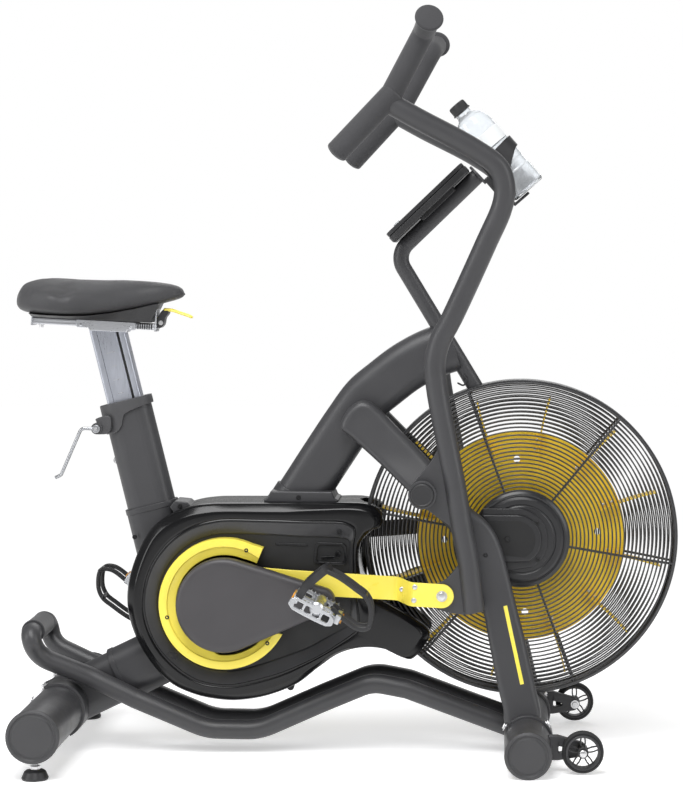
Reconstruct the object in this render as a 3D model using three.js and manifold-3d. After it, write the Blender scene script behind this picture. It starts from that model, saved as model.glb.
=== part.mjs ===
// Air bike: a seated fan-resistance cycle with swinging handle arms.
// Frame: +X forward, +Y to the rider's left, +Z up, millimetres, origin on the floor
// under the centre of the overall box. The right side of the bike is at -Y.
// An axis across the bike is given as [x, z]. A positive tilt turns the front end down.
import * as THREE from 'three';
import { mergeVertices } from 'three/addons/utils/BufferGeometryUtils.js';
import Module from 'manifold-3d';

const wasm = await Module();
wasm.setup();

// ---------------------------------------------------------------- driving dimensions
const SHIFT_X = 16.5;              // moves the layout so that the box centre is at X = 0
const GAP = 0.3;                   // clearance round the seat post and the console inserts
const CRANK = [-227, 268];
const CRANK_LENGTH = 170;
const ECCENTRIC = 44;              // throw of the crank pin that drives the rods
const CRANK_PIN = [CRANK[0], CRANK[1] + ECCENTRIC];
const PEDAL = [CRANK[0] + CRANK_LENGTH, CRANK[1] + 8.9];
const FAN = [290, 376];
const CAGE_R = 277;                // outer radius of the fan cage
const RIM_HALF = 26;               // half width of the cage rim
const HUB_HALF = 46;               // half width of the cage at its hub
const PIVOT = [119.6, 464];        // handle arm pivot
const ROD_PIN = [153, 289.4];      // rod to arm pin
const REAR_STAB = [-523.4, 75.2];
const REAR_R = 45;
const REAR_HALF = 285;
const FRONT_STAB = [300, 40];
const FRONT_R = 40;
const FRONT_HALF = 270;
const FOOT_Y = 258;
const WHEEL = [392.5, 38];
const WHEEL_R = 35.5;
const WHEEL_Y = 222;
const FRAME_W = 56;                // lateral width of the oval frame tubes
const MAST_D = 86;                 // depths of the oval frame tubes
const BEAM_D = 92;
const ARCH_D = 90;
const RAIL_R = 17;                 // base rail tube radius
const ARM_R = 18.5;                // handle arm tube radius
const MAST_TILT = 14;              // seat mast leans back by this many degrees
const SEAT_TILT = 3.2;             // saddle rail noses down by this many degrees
const SEAT = [-444, 752];          // origin of the saddle plane, over the post
const CONSOLE_TILT = -43.7;
const CONSOLE = [125.7, 967.4];
const BOTTLE_TILT = -40.9;
const BOTTLE_BASE = [305, 991.5];
const BOTTLE_R = 33;
const HOUSING_HALF = 78;           // half width of the drive housing

// ---------------------------------------------------------------- solids and booleans
const vec2 = (x, y) => new THREE.Vector2(x, y);
const vec3 = (x, y, z) => new THREE.Vector3(x, y, z);
const rad = THREE.MathUtils.degToRad;
const vectors = (points) => points.map(([x, y]) => vec2(x, y));

// a closed geometry as a solid, with shared vertices merged and faces turned outwards
function solid(geometry) {
  for (const key of Object.keys(geometry.attributes)) {
    if (key !== 'position') geometry.deleteAttribute(key);
  }
  const { index, attributes: { position } } = mergeVertices(geometry, 1e-4);
  const corner = (i) => vec3().fromBufferAttribute(position, i);
  const triangles = [];
  let volume = 0;
  for (let i = 0; i < index.count; i += 3) {
    const [a, b, c] = [0, 1, 2].map((k) => index.getX(i + k));
    if (a === b || b === c || a === c) continue;
    triangles.push([a, b, c]);
    volume += corner(a).dot(corner(b).cross(corner(c)));
  }
  if (volume < 0) triangles.forEach((triangle) => triangle.reverse());
  return new wasm.Manifold(new wasm.Mesh({
    numProp: 3,
    vertProperties: new Float32Array(position.array),
    triVerts: new Uint32Array(triangles.flat()),
  }));
}

function geometryOf(body) {
  const mesh = body.getMesh();
  const geometry = new THREE.BufferGeometry();
  const positions = new Float32Array(mesh.vertProperties);
  geometry.setAttribute('position', new THREE.BufferAttribute(positions, 3));
  geometry.setIndex(new THREE.BufferAttribute(new Uint32Array(mesh.triVerts), 1));
  return geometry;
}

const join = (...bodies) => bodies.reduce((a, b) => a.add(b));
const cut = (body, ...tools) => tools.reduce((a, b) => a.subtract(b), body);
const largest = (body) => body.decompose().sort((a, b) => b.volume() - a.volume())[0];

// the same solid on the other side of the bike
const mirrored = (body) => solid(geometryOf(body).scale(1, -1, 1));
// a solid built about the origin, tilted and moved to [x, z]
const placed = (body, tilt, [x, z]) =>
  solid(geometryOf(body).rotateY(rad(tilt)).translate(x, 0, z));

// half a turn about the crank axis, and onto the other side
const turned = (body) => solid(geometryOf(body)
  .translate(-CRANK[0], 0, -CRANK[1]).scale(-1, -1, -1).translate(CRANK[0], 0, CRANK[1]));

// ---------------------------------------------------------------- primitives
// a cylinder across the bike, from y0 to y1
const rod = (radius, y0, y1, [x, z], sides = 16) => solid(
  new THREE.CylinderGeometry(radius, radius, y1 - y0, sides).translate(x, (y0 + y1) / 2, z));
const box = (dx, dy, dz, x, y, z, tilt = 0) =>
  solid(new THREE.BoxGeometry(dx, dy, dz).rotateY(rad(tilt)).translate(x, y, z));
// lathes about a lateral axis, profile [radius, y], and an upright one, profile [radius, z]
const latheY = (profile, [x, z], sides) =>
  solid(new THREE.LatheGeometry(vectors(profile), sides).translate(x, 0, z));
const latheZ = (profile, sides, x = 0, y = 0) => solid(
  new THREE.LatheGeometry(vectors(profile), sides).rotateX(Math.PI / 2).translate(x, y, 0));
// a ring of rectangular section about a lateral axis
const squareRing = (r0, r1, y0, y1, axis, sides) =>
  latheY([[r0, y0], [r1, y0], [r1, y1], [r0, y1], [r0, y0]], axis, sides);

// a Shape or a list of [x, z] in the side view, extruded from y0 to y1
function plateGeometry(outline, y0, y1, { bevel = 0, curve = 12 } = {}) {
  const shape = outline instanceof THREE.Shape ? outline : new THREE.Shape(vectors(outline));
  const geometry = new THREE.ExtrudeGeometry(shape, {
    depth: y1 - y0 - 2 * bevel,
    bevelEnabled: bevel > 0,
    bevelThickness: bevel,
    bevelSize: bevel,
    bevelOffset: -bevel,
    bevelSegments: 1,
    curveSegments: curve,
  });
  return geometry.translate(0, 0, bevel).rotateX(Math.PI / 2).translate(0, y1, 0);
}
const plate = (...options) => solid(plateGeometry(...options));

// slides every point sideways by a function of its x and z
function sheared(geometry, slide) {
  const p = geometry.attributes.position;
  for (let i = 0; i < p.count; i++) p.setY(i, p.getY(i) + slide(p.getX(i), p.getZ(i)));
  return geometry;
}

// outline round two circles and their common tangents; shrink draws both circles smaller
function tangentLoop([ax, az], radiusA, [bx, bz], radiusB, shrink = 0) {
  const shape = new THREE.Shape();
  const base = Math.atan2(bz - az, bx - ax);
  const spread = Math.acos((radiusA - radiusB) / Math.hypot(bx - ax, bz - az));
  shape.absarc(ax, az, radiusA - shrink, base + spread, base - spread + 2 * Math.PI, false);
  shape.absarc(bx, bz, radiusB - shrink, base - spread, base + spread, false);
  return shape;
}

// a closed outline moved inwards by a distance, or outwards if it is negative
function inset(points, distance) {
  const count = points.length;
  const area = points.reduce((sum, p, i) => {
    const next = points[(i + 1) % count];
    return sum + p[0] * next[1] - next[0] * p[1];
  }, 0);
  const shift = area > 0 ? -distance : distance;
  return points.map((p, i) => {
    const before = points[(i + count - 1) % count];
    const after = points[(i + 1) % count];
    const dx = after[0] - before[0];
    const dz = after[1] - before[1];
    const length = Math.hypot(dx, dz);
    return [p[0] + shift * dz / length, p[1] - shift * dx / length];
  });
}

// ---------------------------------------------------------------- sections and sweeps
const circle = (radius, sides) => Array.from({ length: sides }, (_, i) => {
  const angle = 2 * Math.PI * i / sides;
  return vec2(radius * Math.cos(angle), radius * Math.sin(angle));
});

// round-ended section of the frame tubes; grow widens it both ways for a sleeve or clearance
function oval(depth, grow = 0) {
  const radius = (FRAME_W + grow) / 2;
  const offset = (depth + grow) / 2 - radius;
  const steps = 4;
  return [1, -1].flatMap((side) => Array.from({ length: steps + 1 }, (_, i) => {
    const angle = Math.PI * i / steps;
    return vec2(side * radius * Math.cos(angle), side * (offset + radius * Math.sin(angle)));
  }));
}

function roundedRect(width, depth, radius) {
  const x = width / 2 - radius;
  const y = depth / 2 - radius;
  const corners = [[x, y, 0], [-x, y, 90], [-x, -y, 180], [x, -y, 270]];
  return corners.flatMap(([cx, cy, start]) => [0, 45, 90].map((step) => {
    const angle = rad(start + step);
    return vec2(cx + radius * Math.cos(angle), cy + radius * Math.sin(angle));
  }));
}

// polyline with rounded corners: points are [x, y, z, radius], the ends need no radius
function filleted(points, steps) {
  const corners = points.map(([x, y, z]) => vec3(x, y, z));
  const path = [corners[0]];
  for (let i = 1; i < corners.length - 1; i++) {
    const corner = corners[i];
    const back = corners[i - 1].clone().sub(corner);
    const ahead = corners[i + 1].clone().sub(corner);
    const tangent = points[i][3] / Math.tan(back.angleTo(ahead) / 2);
    const trim = Math.min(tangent, back.length() * 0.49, ahead.length() * 0.49);
    const start = corner.clone().add(back.setLength(trim));
    const end = corner.clone().add(ahead.setLength(trim));
    path.push(...new THREE.QuadraticBezierCurve3(start, corner, end).getPoints(steps));
  }
  path.push(corners.at(-1));
  return path;
}

// a polyline as a curve whose equal parameter steps are its own points
class PointPath extends THREE.Curve {
  constructor(points) {
    super();
    this.points = points;
  }
  getPointAt(t, target = vec3()) {
    const along = t * (this.points.length - 1);
    const i = Math.min(Math.floor(along), this.points.length - 2);
    return target.copy(this.points[i]).lerp(this.points[i + 1], along - i);
  }
  getTangentAt(t, target = vec3()) {
    const last = this.points.length - 1;
    const i = Math.round(t * last);
    const before = this.points[Math.max(i - 1, 0)];
    const after = this.points[Math.min(i + 1, last)];
    return target.copy(after).sub(before).normalize();
  }
}

const sweep = (points, section) => solid(new THREE.ExtrudeGeometry(new THREE.Shape(section), {
  steps: points.length - 1,
  extrudePath: new PointPath(points),
  bevelEnabled: false,
}));
const tube = (points, radius, sides) => sweep(points, circle(radius, sides));

// ---------------------------------------------------------------- finishes and meshes
const finishes = {
  frame: { color: 0x47474a, roughness: 0.55, metalness: 0.25 },
  gloss: { color: 0x0d0d0f, roughness: 0.12, metalness: 0 },
  yellow: { color: 0xf2df3a, roughness: 0.4, metalness: 0 },
  fanYellow: { color: 0xd9a21c, roughness: 0.5, metalness: 0.1 },
  steel: { color: 0xb9bcc0, roughness: 0.3, metalness: 0.9 },
  chrome: { color: 0xd6d8da, roughness: 0.12, metalness: 1 },
  black: { color: 0x1d1d1f, roughness: 0.6, metalness: 0 },
  grip: { color: 0x4a4a4d, roughness: 0.85, metalness: 0 },
  vinyl: { color: 0x3a3a3d, roughness: 0.6, metalness: 0 },
  clear: { color: 0xf2f6f8, roughness: 0.1, metalness: 0 },
  grey: { color: 0x58585b, roughness: 0.5, metalness: 0.1 },
  screen: { color: 0x1b2226, roughness: 0.1, metalness: 0 },
  white: { color: 0xdfe3e6, roughness: 0.4, metalness: 0 },
};

const group = new THREE.Group();
group.position.x = SHIFT_X;

function add(name, body, finish) {
  const material = new THREE.MeshStandardMaterial(finishes[finish]);
  const mesh = new THREE.Mesh(geometryOf(body), material);
  mesh.name = name;
  group.add(mesh);
}
function addPair(name, right, finish, toLeft = mirrored) {
  add(`${name}_right`, right, finish);
  add(`${name}_left`, toLeft(right), finish);
}

// ---------------------------------------------------------------- seat mast and post
const mastX = (z) => -398 - 0.2493 * (z - 555.6);

// a section extruded up the mast axis, from axis height z0 to z1
function upMast(section, z0, z1, bore) {
  const shape = new THREE.Shape(section);
  if (bore) shape.holes.push(new THREE.Path([...bore].reverse()));
  const depth = (z1 - z0) / Math.cos(rad(MAST_TILT));
  const geometry = new THREE.ExtrudeGeometry(shape, { depth, bevelEnabled: false });
  return solid(geometry.rotateZ(Math.PI / 2).rotateY(rad(-MAST_TILT))
    .translate(mastX(z0), 0, z0));
}

const POST_W = 34;
const POST_D = 62;
const POST_CORNER = 6;
const POST_WALL = 3.5;
const POST_TOP = 741;
const postBore = roundedRect(POST_W + 2 * GAP, POST_D + 2 * GAP, POST_CORNER + GAP);
add('seat_mast', upMast(oval(MAST_D), 262, 604, postBore), 'frame');

// the collar is a sleeve, a ring over the mast's top and an ear on the right
const CLAMP = [-458, 569];
function mastCollar() {
  const sleeve = cut(upMast(oval(MAST_D, 9), 566, 622, oval(MAST_D, 0.7)),
    box(200, 200, 40, mastX(566) + 50, 0, 556, -MAST_TILT - 22));
  const top = upMast(oval(MAST_D, 9), 604.5, 618, postBore);
  const ear = join(rod(10, -40, -18, CLAMP), box(18, 22, 26, -453, -29, 578));
  return join(sleeve, top, cut(ear, upMast(oval(MAST_D, 0.7), 500, 640)));
}
add('mast_collar', mastCollar(), 'black');

// clamp lever: a bent rod turning on the ear's bolt
const leverPath = filleted([
  [CLAMP[0], -46, CLAMP[1]], [-483, -46, 569.5, 10], [-520, -46, 487, 6], [-530, -46, 482],
], 2);
add('post_lever', join(tube(leverPath, 3, 6), rod(7.5, -49.5, -40.4, CLAMP, 12)), 'chrome');

const onSeat = (body) => placed(body, SEAT_TILT, SEAT);
// the post ends under a carriage, which is grooved for the saddle rail
function seatPost() {
  const outer = roundedRect(POST_W, POST_D, POST_CORNER);
  const inner = roundedRect(POST_W - 2 * POST_WALL, POST_D - 2 * POST_WALL, 4);
  const post = cut(upMast(outer, 345, POST_TOP, inner),
    box(120, 80, 30, mastX(POST_TOP), 0, POST_TOP + 11, SEAT_TILT),
    onSeat(box(140, 90, 60, 0, 0, 18.5)));
  const carriage = cut(join(box(105, 56, 22, 0, 0, -3), box(66, 40, 8, 3, 0, -16.5)),
    box(120, 41, 20, 0, 0, 4));
  return join(post, onSeat(join(carriage, box(66, 40, 10, 3, 0, -18))));
}
add('seat_post', seatPost(), 'steel');

// ---------------------------------------------------------------- saddle
add('saddle_rail', onSeat(join(
  box(217, 40, 11.4, -19, 0, 0),
  box(3, 48, 16, -126.3, 0, 2.5),
  box(4, 46, 18, 89.5, 0, 3.5),
  box(20, 34, 24, 98, 0, 6),
)), 'steel');
add('saddle_lever', onSeat(join(
  box(44, 14, 4.5, 136, -8, 17.5, 12),
  box(9, 14, 8, 114.5, -8, 20),
)), 'yellow');

// left half of the saddle's plan between its two end points, back to front: [x, y]
const saddleHalf = [
  [-594, 62], [-571, 108], [-536, 124], [-492, 116], [-452, 92],
  [-420, 66], [-384, 46], [-345, 36], [-318, 26],
];
const saddlePlan = [
  [-601, 0], ...saddleHalf, [-306, 0], ...saddleHalf.map(([x, y]) => [x, -y]).reverse(),
];
const SADDLE_MID_X = -452;

// the plan, scaled about its middle and extruded from z0 to z1
function saddleSlab(scale, z0, z1, bevel = 0) {
  const plan = saddlePlan.map(([x, y]) =>
    vec2((x - SADDLE_MID_X) * scale + SADDLE_MID_X, y * scale));
  return solid(new THREE.ExtrudeGeometry(new THREE.Shape(plan), {
    depth: z1 - z0 - 2 * bevel,
    bevelEnabled: bevel > 0,
    bevelThickness: bevel,
    bevelSize: bevel,
    bevelOffset: -bevel,
    bevelSegments: 2,
  }).translate(0, 0, z0 + bevel));
}
add('saddle_pan', cut(saddleSlab(0.86, 750, 775),
  onSeat(box(420, 300, 44.4, 0, 0, -13.6)),
  onSeat(box(8, 52, 34, -126.3, 0, 0)),
  onSeat(box(60, 60, 60, 115, 0, 0))), 'black');
// a bevelled block, hollowed below to fit over the pan
add('saddle_cushion', cut(saddleSlab(1, 763, 829.5, 14), saddleSlab(0.88, 740, 775.3),
  onSeat(box(90, 60, 62, 140, 0, -3))), 'vinyl');

// ---------------------------------------------------------------- stabilisers, feet, wheels
const CAP_LENGTH = 6;              // the tubes stop this far inside the ends of the caps
const STAB_WALL = 3;
function stabiliserTube(radius, fullHalf, axis) {
  const half = fullHalf - CAP_LENGTH;
  return cut(rod(radius, -half, half, axis, 20),
    rod(radius - STAB_WALL, -half - 1, half + 1, axis, 20));
}
const footHole = (y) => solid(new THREE.CylinderGeometry(5.6, 5.6, 40, 8)
  .rotateX(Math.PI / 2).translate(REAR_STAB[0], y, 40));
add('rear_stabiliser', cut(stabiliserTube(REAR_R - 1.2, REAR_HALF, REAR_STAB),
  footHole(-FOOT_Y), footHole(FOOT_Y)), 'frame');

// each wheel bracket is a plate with a headed pin
const wheelPlate = [
  [336, 22], [336, 60], [352, 60], [392, 49], [403, 38], [392, 27], [352, 22],
];
const wheelBracket = join(plate(wheelPlate, -206, -192),
  rod(4.5, -239, -190, WHEEL, 8), rod(8.5, -241, -237, WHEEL, 8));
add('front_stabiliser', join(stabiliserTube(FRONT_R, FRONT_HALF, FRONT_STAB),
  cut(join(wheelBracket, mirrored(wheelBracket)),
    rod(FRONT_R - 1.5, -300, 300, FRONT_STAB, 20))), 'frame');

// a cap is a plug inside the tube and a bevelled disc over its end
function addCaps(name, radius, plugRadius, half, axis) {
  const cap = latheY([
    [0, half - 20.4], [plugRadius, half - 20.4], [plugRadius, half - 5.7],
    [radius, half - 5.7], [radius, half - 3.5], [radius - 3, half], [0, half],
  ], axis, 16);
  add(`${name}_left`, cap, 'black');
  add(`${name}_right`, mirrored(cap), 'black');
}
addCaps('rear_cap', REAR_R, REAR_R - 5.6, REAR_HALF, REAR_STAB);
addCaps('front_cap', FRONT_R, FRONT_R - 4.6, FRONT_HALF, FRONT_STAB);

addPair('levelling_foot', latheZ([
  [0, 0], [22, 0], [23, 3], [19, 21], [15, 24], [8, 24], [8, 27], [5, 27], [5, 58], [0, 58],
], 10, REAR_STAB[0], -FOOT_Y), 'black');

// [radius, y from the wheel's mid plane]
const wheelProfile = [
  [5, -11], [9, -11], [9, -3], [26, -3], [26, -12], [WHEEL_R, -9], [WHEEL_R, 9],
  [26, 12], [26, 3], [9, 3], [9, 11], [5, 11], [5, -11],
];
addPair('transport_wheel',
  latheY(wheelProfile.map(([r, y]) => [r, y - WHEEL_Y]), WHEEL, 14), 'black');

// ---------------------------------------------------------------- main frame
// the arch's centre line, from the crank up to the console mast: [x, z]
const archPath = [
  [-208, 300], [-150, 374], [-95, 456], [-58.6, 512.2], [-13.9, 579.4],
  [16.5, 620.5], [45.3, 644.8], [86.8, 676.2], [129, 699.1], [190, 719],
].map(([x, z]) => vec3(x, 0, z));
const consolePath = filleted([[214, 0, 632], [67.3, 0, 875.4, 34], [212.4, 0, 1015.6]], 4);
const beamPath = [vec3(-532, 0, 76), vec3(-205, 0, 231.5)];
// the beam's clearance runs on past both its ends
const beamClearPath = [-0.1, 1.01].map((t) => vec3().lerpVectors(...beamPath, t));

// clearances that neighbouring pieces are cut back to
const consoleMastClear = tube(consolePath, 14.4, 10);
const beamClear = sweep(beamClearPath, oval(BEAM_D, 0.7));
const mastClear = upMast(oval(MAST_D, 0.8), 240, 620);
const archClear = sweep(archPath.slice(0, -1), oval(ARCH_D, 0.8));

// saddle plate that wraps the rear stabiliser under the beam's end
const rearWrap = cut(rod(REAR_R + 4.5, -64, 64, REAR_STAB, 20),
  box(200, 300, 100, REAR_STAB[0] - 30, 0, REAR_STAB[1] - 65, -20));
add('lower_beam', cut(
  join(sweep(beamPath, oval(BEAM_D)), rearWrap, rod(27, -46, 46, CRANK, 20)),
  rod(REAR_R - 0.9, -300, 300, REAR_STAB, 20),
  rod(17.5, -100, 100, CRANK),
), 'frame');
add('main_arch', cut(sweep(archPath, oval(ARCH_D)), beamClear,
  rod(27.5, -80, 80, CRANK, 20), consoleMastClear,
  box(200, 200, 300, 278, 0, 700, -31)), 'frame');

// the round flange at the top of the console mast
const mastFlange = (radius, thickness) => solid(
  new THREE.CylinderGeometry(radius, radius, thickness, 14)
    .rotateZ(-Math.PI / 2).rotateY(rad(CONSOLE_TILT)).translate(213.8, 0, 1017));
add('console_mast', join(
  cut(tube(consolePath, 14, 10), rod(CAGE_R + 1.6, -80, 80, FAN, 72)),
  mastFlange(20, 4),
), 'frame');

// base loop: one bent tube, from the front stabiliser back along both sides and across the
// rear; the right half is [x, y, z, bend radius]
const railHalf = [
  [268, -50, 46, 0], [90, -50, 112, 60], [28, -50, 124, 60], [-60, -50, 88, 60],
  [-170, -50, 40, 90], [-262, -50, 42, 90], [-388, -50, 95, 60], [-470, -51, 135, 90],
  [-556, -66, 172, 60], [-568, -88, 213, 28],
];
const railPath = filleted([
  ...railHalf, ...railHalf.map(([x, y, z, r]) => [x, -y, z, r]).reverse(),
], 2);
const railClear = tube(railPath, RAIL_R + 0.4, 8);
add('base_loop', cut(tube(railPath, RAIL_R, 8), beamClear,
  rod(FRONT_R + 0.4, -100, 100, FRONT_STAB, 20),
  rod(REAR_R + 4.9, -66, 66, REAR_STAB, 20)), 'frame');
const LOOP_REAR = [-568, 213];
add('loop_grip', cut(rod(20.5, -52, 52, LOOP_REAR), rod(RAIL_R + 0.7, -60, 60, LOOP_REAR)),
  'grip');

// side members: one bent oval member each side, from the arch past the arm pivot to the
// front stabiliser; outline [x, z]
const memberOutline = [
  [-27, 572], [-22, 592], [-8, 610], [8, 619], [24, 617], [38, 607], [84, 561], [129, 516],
  [166, 474], [199, 437], [224, 417], [241, 397], [253, 373], [261, 347], [273, 300],
  [284, 256], [295, 214], [305, 170], [315, 126], [324, 78], [318, 60], [284, 56],
  [262, 66], [258, 94], [252, 117], [244, 153], [233, 207], [223, 258], [204, 303],
  [185, 346], [176, 375], [164, 399], [130, 431], [96, 461], [45, 508], [-6, 553],
];
// the right member's mid plane, from the top down: [z, y]
const memberY = [
  [600, -48], [520, -62], [470, -80], [420, -92], [350, -92],
  [300, -92.5], [207, -105], [90, -125], [0, -127],
];
// linear interpolation in a table of falling heights, held constant beyond its ends
function valueAtHeight(table, z) {
  const i = table.findIndex(([height]) => z >= height);
  if (i === 0) return table[0][1];
  if (i < 0) return table.at(-1)[1];
  const [low, lowValue] = table[i];
  const [high, highValue] = table[i - 1];
  return lowValue + (z - low) / (high - low) * (highValue - lowValue);
}
const memberBody = solid(sheared(plateGeometry(memberOutline, -18, 18, { bevel: 7 }),
  (x, z) => valueAtHeight(memberY, z)));
const frontWrap = cut(rod(FRONT_R + 4.6, -150, -98, FRONT_STAB, 20),
  box(200, 300, 60, FRONT_STAB[0], 0, 2));
addPair('fork_member', cut(
  join(memberBody, frontWrap, rod(9, -160, -72, PIVOT, 12)),
  rod(FRONT_R + 0.5, -400, 400, FRONT_STAB, 20),
  sweep(archPath, oval(ARCH_D, 0.7)),
  railClear,
), 'frame');

// ---------------------------------------------------------------- drive housing
// [x, z]
const housingOutline = [
  [-401, 284], [-387, 343], [-359, 395], [-323, 422], [-288, 435], [-252, 440],
  [-168, 440.5], [-60, 440.5], [14, 440], [34, 434], [45, 422], [45, 400], [30, 396],
  [10, 372], [6, 330], [20, 285], [60, 262], [105, 236], [130, 212], [118, 186], [96, 166],
  [76, 177], [49, 185], [11, 187], [-28, 177], [-64, 153], [-105, 122], [-150, 104],
  [-190, 96], [-224, 94.5], [-280, 104], [-328, 127], [-370, 176], [-396, 234],
];
const HOUSING_WALL = 3;
const coverBody = plate(housingOutline, -HOUSING_HALF, 30, { bevel: 10 });
const coverVoid = plate(inset(housingOutline, HOUSING_WALL), -HOUSING_HALF + HOUSING_WALL, 40,
  { bevel: 9 });
const leftSpace = box(2000, 200, 2000, 0, 99.7, 300);

// room for the fan cage; one side, from the axis out: [radius, y]
const slotSide = [
  [0, HUB_HALF + 2.6], [130, HUB_HALF + 2.6], [190, HUB_HALF],
  [225, RIM_HALF + 16], [255, RIM_HALF + 10], [CAGE_R + 6, RIM_HALF + 7],
];
const cageSlot = latheY(
  [...slotSide.map(([r, y]) => [r, -y]), ...slotSide.toReversed()], FAN, 40);
const frameCuts = [mastClear, archClear, beamClear, cageSlot, railClear];
const crankHole = rod(21, -200, 200, CRANK, 24);
add('housing_right',
  largest(cut(coverBody, coverVoid, leftSpace, ...frameCuts, crankHole)), 'gloss');

// the left cover carries the belt guard that runs forward to the fan hub: [x, z]
const beltOutline = [
  [-60, 384], [286, 409], [308, 406], [322, 392], [326, 374],
  [321, 356], [307, 343], [290, 340], [-60, 176],
];
// open between the belt's two runs, so that the guard is a rail over each
const windowOutline = [[12, 367], [236, 384], [252, 372], [238, 346], [60, 283], [14, 264]];
function leftHousing() {
  const guardVoid = plate(inset(beltOutline, 3), HUB_HALF - 5, 69.4);
  const guard = cut(plate(beltOutline, HUB_HALF + 2.8, 72, { bevel: 3 }), guardVoid,
    mirrored(coverVoid));
  const shell = cut(...[coverBody, coverVoid, leftSpace].map(mirrored));
  return largest(cut(join(cut(shell, guardVoid), guard), ...frameCuts,
    plate(windowOutline, 40, 90), crankHole));
}
add('housing_left', leftHousing(), 'gloss');

// C-shaped guard ring on the right face, open forwards where the rod leaves
function guardRing(endAngle) {
  const shape = new THREE.Shape();
  shape.absarc(...CRANK, 114, rad(54), rad(endAngle), false);
  shape.absarc(...CRANK, 88, rad(endAngle), rad(54), true);
  return plate(shape, -97.4, -78.4, { bevel: 4, curve: 9 });
}
// the right ring's upper end thins to a lip, so that the rod passes behind it
add('guard_ring_right', cut(guardRing(332),
  box(130, 30, 85, CRANK[0] + 65, -75.8, CRANK[1] + 42.5)), 'yellow');
add('guard_ring_left', mirrored(guardRing(316)), 'yellow');

// ---------------------------------------------------------------- crank set
const PULLEY_R = 92;
add('crank_spindle', join(
  rod(10, -117, 117, CRANK, 12),
  rod(16, -70, 70, CRANK),
  latheY([[0, 50], [PULLEY_R, 50], [PULLEY_R, 68], [0, 68]], CRANK, 32),
), 'steel');

const pedalHole = rod(7.4, -130, -90, PEDAL, 10);
function crankArm() {
  const shape = new THREE.Shape();
  shape.absarc(...CRANK, 22, rad(95), rad(265), false);
  shape.absarc(...PEDAL, 14, rad(-85), rad(90), false);
  const body = join(
    plate(shape, -115, -103, { curve: 5 }),
    rod(62, -99.5, -92, CRANK, 20),
    rod(18, -106, -98, CRANK, 12),
    rod(12, -93, -91, CRANK_PIN, 10),
  );
  return cut(body, rod(10.35, -120, -80, CRANK, 12), pedalHole);
}
addPair('crank_arm', crankArm(), 'steel', turned);

// a drop-shaped shell over the crank arm, open on its inner side
const coverTip = [CRANK[0] + CRANK_LENGTH + 2, CRANK[1] + 9];
const coverOutline = (shrink) => tangentLoop(CRANK, 82, coverTip, 22, shrink);
addPair('crank_cover', cut(
  plate(coverOutline(0), -122, -100.4, { bevel: 3, curve: 6 }),
  plate(coverOutline(3.5), -118.6, -99, { curve: 6 }),
  pedalHole,
), 'grey', turned);

// a pedal is an axle in a rectangular frame, with a toe cage arched over its front half
function pedal() {
  const onPedal = (body) => placed(body, 24, PEDAL);
  const frameBars = [
    [92, 8, 20, 0, -132, 0], [92, 8, 20, 0, -210, 0],
    [10, 86, 16, -41, -171, 0], [10, 86, 16, 41, -171, 0],
  ].map((bar) => onPedal(box(...bar)));
  const strapPath = filleted([
    [36, -131, 6], [56, -133, 46, 14], [64, -152, 56, 12],
    [64, -190, 56, 12], [56, -208, 46, 14], [36, -211, 6],
  ], 2);
  const strap = onPedal(sweep(strapPath, vectors([[-2, -9], [2, -9], [2, 9], [-2, 9]])));
  return join(rod(7, -214, -104, PEDAL, 10), ...frameBars,
    rod(13, -214, -128, PEDAL, 10), strap);
}
addPair('pedal', pedal(), 'steel', turned);

// ---------------------------------------------------------------- fan and belt
// the point at a radius and an angle in degrees about the fan axis
const aroundFan = (radius, degrees) => [
  FAN[0] + radius * Math.cos(rad(degrees)), FAN[1] + radius * Math.sin(rad(degrees)),
];
const FAN_PULLEY_R = 20;
function fanRotor() {
  const blades = Array.from({ length: 12 }, (_, i) =>
    placed(box(105, 42, 2.4, 200, 0, 0), 12 + 30 * i, FAN));
  const holes = [3, 93, 183, 273].map((angle) => rod(6, -5, 5, aroundFan(136, angle), 6));
  const disc = cut(rod(185, -1.5, 1.5, FAN, 28), ...holes);
  const body = join(disc, rod(42, -30, 30, FAN), ...blades, rod(15, -32, 52, FAN, 12),
    rod(FAN_PULLEY_R, 51, 67, FAN));
  return cut(body, rod(8.5, -80, 80, FAN, 12));
}
add('fan_rotor', fanRotor(), 'fanYellow');
add('fan_axle', rod(8, -60, 68.4, FAN, 12), 'steel');
// the belt loop around the crank pulley and the fan pulley
add('drive_belt', cut(
  plate(tangentLoop(CRANK, 96.5, FAN, 24.5), 53, 65, { curve: 10 }),
  plate(tangentLoop(CRANK, 94, FAN, 21.8), 50, 68, { curve: 10 }),
  rod(PULLEY_R + 0.6, 50, 68, CRANK, 32),
  rod(FAN_PULLEY_R + 0.6, 50, 68, FAN),
), 'black');

// ---------------------------------------------------------------- fan cage
// half width of the domed cage at a radius: flat to the hub's edge, then falling to the rim
function domeY(radius) {
  const hubEdge = 84;
  const t = Math.max(0, (radius - hubEdge) / (CAGE_R - hubEdge));
  return RIM_HALF + (HUB_HALF - RIM_HALF) * (1 - t * t * t);
}
function cageSide() {
  const hub = squareRing(60, 86, -HUB_HALF - 1, -HUB_HALF + 3, FAN, 16);
  const rim = squareRing(268, 276, -RIM_HALF - 1.5, -RIM_HALF + 2, FAN, 28);
  const rings = [130, 175, 222].map((r) =>
    squareRing(r - 2, r + 2, -domeY(r) - 2, -domeY(r) + 2, FAN, 18));
  const spokes = Array.from({ length: 6 }, (_, i) => {
    const points = [82, 155, 215, 250, 272].map((r) => {
      const [x, z] = aroundFan(r, -10 - 60 * i);
      return vec3(x, -domeY(r) + 2.4, z);
    });
    return tube(points, 3, 4);
  });
  return join(hub, rim, ...rings, ...spokes);
}
addPair('cage', cageSide(), 'frame');

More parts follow.
